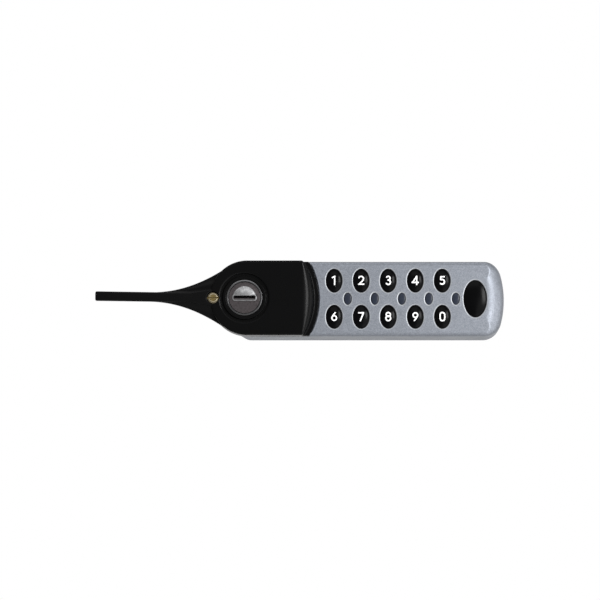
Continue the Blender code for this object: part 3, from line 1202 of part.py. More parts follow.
def latch_carrier():
    """Moulded block that guides the bolt and carries the motor."""
    inner = CHANNEL_HALF_Y
    outer = CHANNEL_HALF_Y + CARRIER_WALL
    base = box_outline((CARRIER_X, CARRIER_EAR_Y), (CARRIER_END_X, outer))
    block = solid("latch_carrier", prism(bmesh.new(), base, INNER_FLOOR_Z, CARRIER_FLOOR_Z))
    bed_half = MOTOR_RADIUS + CARRIER_WALL
    bed = box_outline((PINION_X - bed_half, (inner + outer) / 2), (PINION_X + bed_half, MOTOR_END_Y))
    wall_low = CARRIER_FLOOR_Z - SEAT_GAP
    wall_high = CARRIER_FLOOR_Z + CARRIER_WALL_RISE
    tower_high = PINION_Z + CARRIER_TOWER_RISE
    inset = CARRIER_WALL
    near = box_outline((CARRIER_X + inset, -outer), (CARRIER_END_X - inset, -inner))
    far = box_outline((CARRIER_X + inset, inner), (CARRIER_END_X - inset, outer))
    walls = prism(bmesh.new(), near, wall_low, wall_high)
    prism(walls, far, wall_low, wall_high)
    join(block, walls)
    join(block, prism(bmesh.new(), bed, INNER_FLOOR_Z, MOTOR_BED_Z))
    half = CARRIER_TOWER_WIDTH / 2
    tower = box_outline((PINION_X - half, inner), (PINION_X + half, outer))
    join(block, prism(bmesh.new(), tower, wall_low, tower_high))
    holes = bmesh.new()
    for x in CARRIER_SCREW_XS:
        bore = [(SMALL_HOLE_RADIUS, INNER_FLOOR_Z - OVERRUN), (SMALL_HOLE_RADIUS, CARRIER_FLOOR_Z + OVERRUN)]
        turned(holes, bore, SCREW_STEPS, (x, CARRIER_SCREW_Y))
    cut(block, holes)
    clear = PINION_SHAFT_RADIUS + SEAT_GAP
    shaft_hole = turned(bmesh.new(), [(clear, -OVERRUN), (clear, CARRIER_WALL + OVERRUN)], WINDOW_STEPS)
    return cut(block, turn_mesh(shaft_hole, along_y((PINION_X, inner, PINION_Z))))


def battery_tray():
    """Open tray for two cells, with a rib between them."""
    outer = box_outline((TRAY_X, -TRAY_HALF_Y), (TRAY_END_X, TRAY_HALF_Y))
    top = INNER_FLOOR_Z + TRAY_WALL_HEIGHT
    tray = solid("battery_tray", prism(bmesh.new(), outer, INNER_FLOOR_Z, top))
    low_x = TRAY_X + TRAY_WALL
    high_x = TRAY_END_X - TRAY_WALL
    low_y = TRAY_RIB / 2
    high_y = TRAY_HALF_Y - TRAY_WALL
    beds = prism(bmesh.new(), box_outline((low_x, low_y), (high_x, high_y)), TRAY_FLOOR_Z, top + OVERRUN)
    prism(beds, box_outline((low_x, -high_y), (high_x, -low_y)), TRAY_FLOOR_Z, top + OVERRUN)
    cut(tray, beds)
    passage = prism(
        bmesh.new(),
        box_outline((low_x, -high_y), (CELL_X - SEAT_GAP / 2, high_y)),
        TRAY_FLOOR_Z,
        top + OVERRUN,
    )
    return cut(tray, passage)


def cell(name, side, facing):
    """Dry cell in the tray. The nub is on the end that it faces."""
    profile = [
        (CELL_RADIUS - CELL_EDGE, 0.0),
        (CELL_RADIUS, CELL_EDGE),
        (CELL_RADIUS, CELL_LENGTH - CELL_NUB_LENGTH - CELL_EDGE),
        (CELL_RADIUS - CELL_EDGE, CELL_LENGTH - CELL_NUB_LENGTH),
        (CELL_NUB_RADIUS, CELL_LENGTH - CELL_NUB_LENGTH),
        (CELL_NUB_RADIUS, CELL_LENGTH),
    ]
    body = turned(bmesh.new(), profile, COARSE_STEPS)
    if facing < 0:
        turn_mesh(body, Matrix.Translation((0.0, 0.0, CELL_LENGTH)) @ Matrix.Rotation(math.pi, 4, "X"))
    return solid(name, turn_mesh(body, along_x((CELL_X, side * CELL_Y, CELL_Z))))


def contact_bridge():
    """Plate that joins the two cells at the tray's near end."""
    reach = TRAY_HALF_Y - TRAY_WALL - CONTACT_END_INSET
    low = (TRAY_X + TRAY_WALL + SEAT_GAP, -reach)
    high = (low[0] + CONTACT_THICKNESS, reach)
    floor = TRAY_FLOOR_Z + SEAT_GAP
    return solid("contact_bridge", prism(bmesh.new(), box_outline(low, high), floor, floor + CONTACT_HEIGHT))


def contact_plate(name, side):
    """Plate at one cell's far end."""
    near_y = TRAY_RIB / 2 + CONTACT_END_INSET
    far_y = TRAY_HALF_Y - TRAY_WALL - CONTACT_END_INSET
    high_x = TRAY_END_X - TRAY_WALL - SEAT_GAP
    low = (high_x - CONTACT_THICKNESS, min(side * near_y, side * far_y))
    high = (high_x, max(side * near_y, side * far_y))
    floor = TRAY_FLOOR_Z + SEAT_GAP
    return solid(name, prism(bmesh.new(), box_outline(low, high), floor, floor + CONTACT_HEIGHT))


def anchor_stud():
    """Threaded stud through the plate that pins the keypad end to the door."""
    thread = M4_HOLE_RADIUS - SEAT_GAP
    top = INNER_FLOOR_Z + STUD_FLANGE_THICKNESS
    profile = [
        (thread, STUD_END_Z + STUD_THREAD_DEPTH),
        (thread, STUD_END_Z),
        (STUD_RADIUS, STUD_END_Z),
        (STUD_RADIUS, INNER_FLOOR_Z),
        (STUD_FLANGE_RADIUS, INNER_FLOOR_Z),
        (STUD_FLANGE_RADIUS, top),
    ]
    return solid("anchor_stud", turned(bmesh.new(), profile, COARSE_STEPS, (STUD_X, 0.0)))


def settle(piece, finish_name, origin, frame):
    """Dress a piece, move its origin to its axis or seat and hang it in the lock's frame."""
    for polygon in piece.data.polygons:
        polygon.material_index = 0
    piece.data.materials.clear()
    piece.data.materials.append(finish(finish_name))
    piece.data.transform(Matrix.Translation(-Vector(origin)))
    piece.data.shade_smooth()
    piece.data.set_sharp_from_angle(angle=math.radians(35.0))
    piece.location = origin
    piece.parent = frame


def fixed_pieces():
    """Pieces that stay with the body: object, finish and origin."""
    axis = (0.0, 0.0, 0.0)
    pieces = [
        (housing(), "silver_paint", axis),
        (back_plate(), "plated_steel", axis),
        (mounting_sleeve(), "zinc_cast", axis),
        (mounting_nut(), "plated_steel", (0.0, 0.0, -DOOR_THICKNESS)),
        (thrust_washer(), "white_nylon", (0.0, 0.0, DECK_Z)),
        (latch_carrier(), "black_plastic", (CARRIER_X, 0.0, INNER_FLOOR_Z)),
        (latch_motor(), "plated_steel", (PINION_X, MOTOR_Y, PINION_Z)),
        (keypad_board(), "board_green", (BOARD_X, 0.0, BOARD_Z)),
        (keypad_mat(), "silicone", (BOARD_X, 0.0, MAT_Z)),
        (lens_strip(), "lens_tint", (WINDOW_XS[0], 0.0, FLANGE_TOP_Z)),
        (buzzer(), "black_plastic", (BUZZER_X, 0.0, BOARD_Z)),
        (battery_tray(), "black_plastic", (TRAY_X, 0.0, INNER_FLOOR_Z)),
        (cell("cell_upper", 1, 1), "cell_wrap", (CELL_X, CELL_Y, CELL_Z)),
        (cell("cell_lower", -1, -1), "cell_wrap", (CELL_X, -CELL_Y, CELL_Z)),
        (contact_bridge(), "plated_steel", (TRAY_X, 0.0, TRAY_FLOOR_Z)),
        (contact_plate("contact_upper", 1), "plated_steel", (TRAY_END_X, CELL_Y, TRAY_FLOOR_Z)),
        (contact_plate("contact_lower", -1), "plated_steel", (TRAY_END_X, -CELL_Y, TRAY_FLOOR_Z)),
        (anchor_stud(), "zinc_cast", (STUD_X, 0.0, 0.0)),
    ]
    for name, place in PLATE_SCREW_PLACES.items():
        pieces.append((plate_screw("plate_screw_" + name, place), "plated_steel", (*place, 0.0)))
    for number, place in enumerate(POST_PLACES, 1):
        pieces.append((board_screw(f"board_screw_{number}", place), "plated_steel", (*place, BOARD_Z)))
    for number, x in enumerate(CARRIER_SCREW_XS, 1):
        place = (x, CARRIER_SCREW_Y)
        screw = carrier_screw(f"carrier_screw_{number}", place)
        pieces.append((screw, "plated_steel", (*place, CARRIER_FLOOR_Z)))
    for number, x in enumerate(WINDOW_XS, 1):
        pieces.append((lamp(f"lamp_{number}", x), "white_nylon", (x, 0.0, MAT_Z)))
    return pieces


def turning_pieces():
    """Pieces that turn about the handle's axis."""
    axis = (0.0, 0.0, 0.0)
    return [
        (handle(), "black_paint", axis),
        (cylinder_body(), "cylinder_face", axis),
        (key_plug(), "cylinder_face", axis),
        (retaining_screw(), "brass", axis),
        (socket_screw("handle_screw", HANDLE_SCREW_Z, -1), "plated_steel", axis),
        (spindle(), "plated_steel", axis),
        (spindle_clip(), "plated_steel", axis),
        (lock_disc(), "plated_steel", axis),
        (cam(), "plated_steel", axis),
        (cam_washer(), "plated_steel", axis),
        (socket_screw("cam_screw", CAM_SCREW_Z, 1), "plated_steel", axis),
    ]


def sliding_pieces():
    """Keys, the bolt and the pinion that drives it."""
    pieces = []
    for digit, place in DIGIT_PLACES.items():
        key = push_key(f"key_{digit}", place, KEY_HALF_X, KEY_HALF_Y)
        pieces.append((key, "key_gloss", (*place, FACE_Z)))
    place = (FUNCTION_KEY_X, 0.0)
    key = push_key("function_key", place, FUNCTION_KEY_HALF_X, FUNCTION_KEY_HALF_Y)
    pieces.append((key, "key_gloss", (*place, FACE_Z)))
    pieces.append((latch_bolt(), "zinc_cast", (BOLT_NOSE_X, 0.0, BOLT_Z)))
    pieces.append((motor_pinion(), "brass", (PINION_X, 0.0, PINION_Z)))
    return pieces


def main():
    """Clear the scene and build the lock under one upright frame."""
    for old in list(bpy.data.objects):
        bpy.data.objects.remove(old)
    pieces = fixed_pieces() + turning_pieces() + sliding_pieces()
    for spare in list(bpy.data.objects):
        if spare not in [piece for piece, _, _ in pieces]:
            bpy.data.objects.remove(spare)
    frame = bpy.data.objects.new("lock_frame", None)
    bpy.context.scene.collection.objects.link(frame)
    frame.location = (-SEAT_FROM_AXIS, 0.0, 0.0)
    frame.rotation_euler = (math.pi / 2, 0.0, 0.0)
    for piece, finish_name, origin in pieces:
        settle(piece, finish_name, origin, frame)
    bpy.context.view_layer.update()


main()
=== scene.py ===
"""Looks of the electronic cabinet lock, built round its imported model.

Pieces are modelled in the lock's own frame, about the handle's axis: x runs along the
body towards the keypad, y runs up the door and z stands out from it. A finished piece is
hung upright, with its place in its mesh, and rides on the body that carries it. Lengths
are in metres.
"""

import logging
import math
from dataclasses import dataclass
from enum import Enum, IntEnum
from functools import cache
from typing import Callable, Sequence

import bpy
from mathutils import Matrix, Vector


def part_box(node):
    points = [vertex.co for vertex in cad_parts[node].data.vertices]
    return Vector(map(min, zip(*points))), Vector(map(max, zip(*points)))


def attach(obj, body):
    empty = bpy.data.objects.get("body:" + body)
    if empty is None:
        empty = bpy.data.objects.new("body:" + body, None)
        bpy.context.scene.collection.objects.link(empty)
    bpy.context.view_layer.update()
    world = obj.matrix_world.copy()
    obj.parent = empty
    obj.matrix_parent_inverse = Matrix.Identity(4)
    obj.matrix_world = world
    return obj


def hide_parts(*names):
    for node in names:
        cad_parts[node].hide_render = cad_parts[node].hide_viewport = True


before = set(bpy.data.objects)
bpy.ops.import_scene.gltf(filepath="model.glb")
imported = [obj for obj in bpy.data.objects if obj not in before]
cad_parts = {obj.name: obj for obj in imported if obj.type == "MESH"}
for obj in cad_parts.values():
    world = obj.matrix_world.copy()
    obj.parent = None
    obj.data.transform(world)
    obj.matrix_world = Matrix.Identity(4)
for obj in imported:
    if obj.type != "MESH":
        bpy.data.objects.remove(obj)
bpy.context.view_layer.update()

log = logging.getLogger("cabinet_lock")

MM = 0.001
AXIS_X = -84.0 * MM
SEAT_GAP = 0.3 * MM
OVERRUN = 1.0 * MM
MERGE = 0.001 * MM
QUARTER = math.pi / 2
FULL = 2 * math.pi
HALF_FLAT = math.cos(math.radians(30.0))
CORNER_STEPS = 6
SHARP_ANGLE = 32.0
BEVEL_ANGLE = 50.0
BEVEL_SEGMENTS = 3

Point = tuple[float, float]
Place = tuple[float, float, float]
Corner = tuple[float, ...]
Colour = tuple[float, float, float]
Object = bpy.types.Object
Socket = bpy.types.NodeSocket
Sockets = bpy.types.bpy_prop_collection
ON_AXIS: Point = (0.0, 0.0)


class Edge:
    """Radii and chamfers of small edges."""

    CRISP = 0.1 * MM
    FINE = 0.15 * MM
    THIN = 0.2 * MM
    SOFT = 0.25 * MM
    ROUND = 0.3 * MM
    FULL = 0.35 * MM
    WIDE = 0.4 * MM
    BROAD = 0.5 * MM


class Turns(IntEnum):
    """Steps of a full turn, by what is round."""

    BOSS = 24
    SCREW = 40
    WINDOW = 48
    POCKET = 64
    HOLE = 72
    HUB = 96
    BARREL = 144
    STEP = 288
    SKIRT = 360


# Places read from the frame


@dataclass(frozen=True)
class Extent:
    """Box of a CAD node in the lock's own frame."""

    low: Vector
    high: Vector

    @property
    def middle(self) -> Vector:
        """The box's centre."""
        return (self.low + self.high) / 2

    @property
    def half(self) -> Vector:
        """Half the box's size."""
        return (self.high - self.low) / 2

    @property
    def spot(self) -> Point:
        """Where the box's centre lies in the plan."""
        return tuple(self.middle.xy)


@cache
def extent(node: str) -> Extent:
    """Read a CAD node's box, turned to the lock's own frame."""
    low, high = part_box(node)
    return Extent(Vector((low.x - AXIS_X, low.z, -high.y)), Vector((high.x - AXIS_X, high.z, -low.y)))


HOUSING = extent("housing")
CYLINDER = extent("cylinder_body")
CYLINDER_SINK = 0.1 * MM
SLEEVE_FLANGE = 1.8 * MM
KEY_CLEARANCE = 0.12 * MM
HUB_RADIUS = 11.0 * MM
ROLL_STEPS = 14
FACE_Z = HOUSING.high.z
DECK_Z = extent("thrust_washer").high.z
HEAD_Z = DECK_Z + SEAT_GAP
HEAD_TOP_Z = CYLINDER.high.z + CYLINDER_SINK
INNER_FLOOR_Z = extent("mounting_sleeve").high.z - SLEEVE_FLANGE
LAMP_NODES = [f"lamp_{number}" for number in range(1, 6)]
BOARD_SCREW_NODES = [f"board_screw_{number}" for number in range(1, 5)]
PLATE_SCREW_NODES = [f"plate_screw_{end}_{side}" for end in ("near", "far") for side in ("top", "bottom")]


# Sketches and rings


@dataclass(frozen=True)
class Line:
    """A straight move of a sketch."""

    x: float
    y: float

    def draw(self, last: Vector) -> Vector:
        """Extrude the last point to this one.

        Args:
            last: Where the point is.

        Returns:
            Where it is now.
        """
        goal = Vector((self.x, self.y, 0.0))
        bpy.ops.mesh.extrude_region_move(TRANSFORM_OT_translate={"value": goal - last})
        return goal


@dataclass(frozen=True)
class Arc:
    """A move of a sketch along an arc; a positive turn runs counter-clockwise."""

    centre: Point
    turn: float
    steps: int

    def draw(self, last: Vector) -> Vector:
        """Spin the last point round the centre.

        Args:
            last: Where the point is.

        Returns:
            Where it is now.
        """
        centre = Vector((*self.centre, 0.0))
        axis = (0.0, 0.0, -math.copysign(1.0, self.turn))
        bpy.ops.mesh.spin(steps=self.steps, angle=abs(self.turn), center=centre, axis=axis)
        arm = last - centre
        cosine, sine = math.cos(self.turn), math.sin(self.turn)
        return centre + Vector((arm.x * cosine - arm.y * sine, arm.x * sine + arm.y * cosine, 0.0))


Move = Line | Arc


def rounded_path(corners: Sequence[Corner], closed: bool, steps: int) -> tuple[Point, list[Move]]:
    """Turn a list of corners into the moves of a sketch, with round corners.

    Args:
        corners: (x, y) or (x, y, radius) in order.
        closed: Whether the path returns to its first corner.
        steps: How many steps a quarter turn takes.

    Returns:
        The first point and the moves from there.
    """
    spots = [Vector(corner[:2]) for corner in corners]
    radii = [corner[2] if len(corner) > 2 else 0.0 for corner in corners]
    count = len(spots)
    start = (spots[-1] + spots[0]) / 2 if closed else spots[0]
    moves: list[Move] = []
    for index in range(0 if closed else 1, count):
        spot, radius = spots[index], radii[index]
        if radius <= 0.0 or (not closed and index == count - 1):
            moves.append(Line(*spot))
            continue
        arriving = (spot - spots[index - 1]).normalized()
        leaving = (spots[(index + 1) % count] - spot).normalized()
        turn = math.atan2(arriving.x * leaving.y - arriving.y * leaving.x, arriving.dot(leaving))
        begin = spot - arriving * radius * math.tan(abs(turn) / 2)
        centre = begin + Vector((-arriving.y, arriving.x)) * math.copysign(radius, turn)
        moves.append(Line(*begin))
        moves.append(Arc(tuple(centre), turn, max(2, round(steps * abs(turn) / QUARTER))))
    return tuple(start), moves


def between(start: float, end: float, steps: int) -> list[float]:
    """Even steps from one value to another, with both."""
    return [start + (end - start) * step / steps for step in range(steps + 1)]


def bend(steps: int, turn: float = QUARTER) -> list[Point]:
    """Cosine and sine at even steps through a turn, with both ends."""
    angles = (turn * step / steps for step in range(steps + 1))
    return [(math.cos(angle), math.sin(angle)) for angle in angles]


def oval(half: Point, z: float, steps: int, centre: Point) -> list[Place]:
    """Ring of points on an ellipse at one height, counter-clockwise."""
    turns = bend(steps, FULL)[:-1]
    return [(centre[0] + half[0] * cosine, centre[1] + half[1] * sine, z) for cosine, sine in turns]


def rectangle(low: Point, high: Point, radius: float = 0.0) -> list[Corner]:
    """Corners of a rectangle, counter-clockwise."""
    spots = (low, (high[0], low[1]), high, (low[0], high[1]))
    return [(*spot, radius) for spot in spots]


# Modelling by hand


def clear() -> None:
    """Leave nothing selected, in object mode."""
    if bpy.context.mode != "OBJECT":
        bpy.ops.object.mode_set(mode="OBJECT")
    bpy.ops.object.select_all(action="DESELECT")


def hold(piece: Object) -> Object:
    """Select one piece alone and make it the active one.

    Args:
        piece: The piece.

    Returns:
        The piece.
    """
    clear()
    piece.select_set(True)
    bpy.context.view_layer.objects.active = piece
    return piece


def named(name: str) -> Object:
    """Name the primitive or copy that was just added.

    Args:
        name: Its name.

    Returns:
        The named piece.
    """
    piece = bpy.context.active_object
    piece.name = piece.data.name = name
    return piece


def settle(piece: Object) -> Object:
    """Put a piece's place and turn into its mesh.

    Args:
        piece: The piece.

    Returns:
        The piece, at the origin and unturned.
    """
    hold(piece)
    bpy.ops.object.transform_apply(location=True, rotation=True, scale=True)
    return piece


def edit(piece: Object, *steps: Callable[[], object]) -> Object:
    """Run steps in edit mode with everything selected.

    Args:
        piece: The piece to work on.
        steps: Calls without arguments, run in order.

    Returns:
        The piece, back in object mode.
    """
    hold(piece)
    bpy.ops.object.mode_set(mode="EDIT")
    bpy.ops.mesh.select_all(action="SELECT")
    for step in steps:
        step()
    bpy.ops.object.mode_set(mode="OBJECT")
    return piece


def merge_doubles() -> None:
    """Merge what is selected where it coincides."""
    bpy.ops.mesh.remove_doubles(threshold=MERGE)


def face_outwards() -> None:
    """Point every selected face outwards."""
    bpy.ops.mesh.normals_make_consistent(inside=False)


def extrude_up(height: float) -> None:
    """Extrude what is selected by a height."""
    bpy.ops.mesh.extrude_region_move(TRANSFORM_OT_translate={"value": (0.0, 0.0, height)})


def shift_up(height: float) -> None:
    """Move what is selected by a height."""
    bpy.ops.transform.translate(value=(0.0, 0.0, height))


def apply(piece: Object, modifier: bpy.types.Modifier, **settings: object) -> Object:
    """Set up a modifier that was just added and apply it.

    Args:
        piece: The piece that carries it.
        modifier: The modifier.
        settings: Its properties.

    Returns:
        The changed piece.
    """
    for name, value in settings.items():
        setattr(modifier, name, value)
    hold(piece)
    bpy.ops.object.modifier_apply(modifier=modifier.name)
    return piece


def sketch(name: str, start: Point, moves: Sequence[Move]) -> Object:
    """Draw a chain of edges in the plan, one move after the other.

    Args:
        name: The new piece's name.
        start: The first point.
        moves: Lines and arcs from there.

    Returns:
        The piece, a chain of edges at height 0.
    """
    clear()
    bpy.ops.mesh.primitive_plane_add(size=MM, location=(0.0, 0.0, 0.0))
    piece = named(name)
    bpy.ops.object.mode_set(mode="EDIT")
    bpy.ops.mesh.select_all(action="SELECT")
    bpy.ops.mesh.merge(type="CENTER")
    spot = Vector((*start, 0.0))
    bpy.ops.transform.translate(value=spot)
    for move in moves:
        spot = move.draw(spot)
    return edit(piece, merge_doubles)


def lift(piece: Object, low: float, high: float) -> Object:
    """Fill a closed sketch and extrude it from one height to another."""
    edit(piece, bpy.ops.mesh.edge_face_add, lambda: shift_up(low), lambda: extrude_up(high - low))
    return edit(piece, merge_doubles, face_outwards)


def raised(
    name: str, corners: Sequence[Corner], low: float, high: float, steps: int = CORNER_STEPS
) -> Object:
    """Raise an outline between two heights.

    Args:
        name: The new piece's name.
        corners: The outline's corners, as rounded_path takes them.
        low: Height of the underside.
        high: Height of the top.
        steps: How many steps a quarter turn takes.

    Returns:
        A closed piece.
    """
    return lift(sketch(name, *rounded_path(corners, True, steps)), low, high)


def stand(piece: Object) -> Object:
    """Turn a piece upright, so that its y is its height."""
    piece.rotation_euler = (QUARTER, 0.0, 0.0)
    return settle(piece)


def spun(
    name: str, corners: Sequence[Corner], turns: Turns, centre: Point = ON_AXIS, ring: bool = False
) -> Object:
    """Spin a profile of (radius, height) corners about an upright axis.

    Args:
        name: The new piece's name.
        corners: The profile from the lower end up, as rounded_path takes it.
        turns: How many steps the full turn takes.
        centre: Where the axis stands.
        ring: Whether the profile is a loop; otherwise both its ends meet the axis.

    Returns:
        A closed piece.
    """
    if not ring:
        corners = [(0.0, corners[0][1]), *corners, (0.0, corners[-1][1])]
    piece = sketch(name, *rounded_path(corners, ring, CORNER_STEPS))
    if ring:
        edit(piece, bpy.ops.mesh.edge_face_add, lambda: bpy.ops.mesh.delete(type="ONLY_FACE"))
    stand(piece)
    spin = {"steps": int(turns), "angle": FULL, "center": (0.0, 0.0, 0.0), "axis": (0.0, 0.0, 1.0)}
    edit(piece, lambda: bpy.ops.mesh.spin(**spin))
    edit(piece, merge_doubles, face_outwards)
    piece.location = (*centre, 0.0)
    return settle(piece)


def loft(name: str, rings: Sequence[Sequence[Place]]) -> Object:
    """Extrude a ring from station to station and cap both ends.

    Args:
        name: The new piece's name.
        rings: The stations, each with as many points.

    Returns:
        A closed piece.
    """
    clear()
    bpy.ops.mesh.primitive_circle_add(vertices=len(rings[0]), radius=MM, fill_type="NOTHING")
    piece = named(name)
    edit(piece, *[lambda: extrude_up(MM)] * (len(rings) - 1))
    piece.data.vertices.foreach_set("co", [value for ring in rings for point in ring for value in point])
    edit(piece, lambda: bpy.ops.mesh.fill_holes(sides=0))
    return edit(piece, merge_doubles, face_outwards)


def hexagon(name: str, radius: float, low: float, high: float) -> Object:
    """Add a six-sided bar on the handle's axis.

    Args:
        name: The new piece's name.
        radius: From the axis to a corner.
        low: Height of the underside.
        high: Height of the top.

    Returns:
        The bar.
    """
    clear()
    middle = (0.0, 0.0, (low + high) / 2)
    bpy.ops.mesh.primitive_cylinder_add(vertices=6, radius=radius, depth=high - low, location=middle)
    return named(name)


def combine(piece: Object, tool: Object, operation: str) -> Object:
    """Cut, join or trim a piece with a tool that is used up.

    Args:
        piece: The piece to change.
        tool: A closed piece.
        operation: DIFFERENCE, UNION or INTERSECT.

    Returns:
        The changed piece.
    """
    modifier = piece.modifiers.new(operation.title(), "BOOLEAN")
    apply(piece, modifier, operation=operation, solver="MANIFOLD", object=tool)
    bpy.data.meshes.remove(tool.data)
    return piece


def cut(piece: Object, *tools: Object) -> Object:
    """Take each tool's shape out of a piece.

    Args:
        piece: The piece to cut.
        tools: Closed pieces, which are used up.

    Returns:
        The cut piece.
    """
    for tool in tools:
        combine(piece, tool, "DIFFERENCE")
    return piece


def add(piece: Object, *tools: Object) -> Object:
    """Join each tool's shape to a piece.

    Args:
        piece: The piece to add to.
        tools: Closed pieces, which are used up.

    Returns:
        The joined piece.
    """
    for tool in tools:
        combine(piece, tool, "UNION")
    return piece


def gather(pieces: Sequence[Object]) -> Object:
    """Make one object of several, without a union.

    Args:
        pieces: The pieces.

    Returns:
        The first of them, which holds them all.
    """
    hold(pieces[0])
    for piece in pieces:
        piece.select_set(True)
    bpy.ops.object.join()
    return pieces[0]


def soften(piece: Object, width: float) -> Object:
    """Round a piece's sharp edges with a bevel.

    Args:
        piece: The piece.
        width: How wide the bevel is.

    Returns:
        The softened piece.
    """
    limit = {"limit_method": "ANGLE", "angle_limit": math.radians(BEVEL_ANGLE)}
    modifier = piece.modifiers.new("Soften", "BEVEL")
    return apply(piece, modifier, width=width, segments=BEVEL_SEGMENTS, use_clamp_overlap=True, **limit)


# Finishes


class Wiring:
    """Adds nodes to one node tree and joins their sockets."""

    def __init__(self, tree: bpy.types.NodeTree) -> None:
        """Keep the tree that the nodes go into."""
        self.tree = tree

    def fill(self, node: bpy.types.Node, inputs: dict) -> bpy.types.Node:
        """Give a node's inputs their values or links.

        Args:
            node: The node.
            inputs: Values or sockets by the input's name or number.

        Returns:
            The node.
        """
        for key, value in inputs.items():
            if isinstance(value, Socket):
                self.tree.links.new(value, node.inputs[key])
            else:
                node.inputs[key].default_value = value
        return node

    def node(self, kind: str, inputs: dict | None = None, **settings: object) -> bpy.types.Node:
        """Add a node.

        Args:
            kind: The node's type.
            inputs: Values or sockets by the input's name or number.
            settings: The node's own properties.

        Returns:
            The new node.
        """
        made = self.tree.nodes.new(kind)
        for name, value in settings.items():
            setattr(made, name, value)
        return self.fill(made, inputs or {})

    def noise(self, vector: Socket, scale: Socket, **inputs: object) -> Socket:
        """Add a noise texture and return its height."""
        return self.node("ShaderNodeTexNoise", {"Vector": vector, "Scale": scale, **inputs}).outputs[0]

    def maths(self, operation: str, *values: object) -> Socket:
        """Add a maths node and return its result."""
        return self.node("ShaderNodeMath", dict(enumerate(values)), operation=operation).outputs[0]

    def blend(self, factor: object, first: object, second: object, kind: str = "MIX") -> Socket:
        """Mix two colours and return the result."""
        inputs = {0: factor, 6: first, 7: second}
        return self.node("ShaderNodeMix", inputs, data_type="RGBA", blend_type=kind).outputs[2]

    def spread(self, value: Socket, low: float, high: float, source: Point = (0.0, 1.0)) -> Socket:
        """Map a value from its source range onto low to high."""
        inputs = {0: value, 1: source[0], 2: source[1], 3: low, 4: high}
        return self.node("ShaderNodeMapRange", inputs, clamp=True).outputs[0]

    def seen(self, *rays: str) -> Socket:
        """Tell whether a ray is one of the named kinds.

        Args:
            rays: Outputs of the light path.

        Returns:
            A socket that is 1 for these rays and 0 for others.
        """
        path = self.node("ShaderNodeLightPath").outputs
        result = path[rays[0]]
        for ray in rays[1:]:
            result = self.maths("MAXIMUM", result, path[ray])
        return result


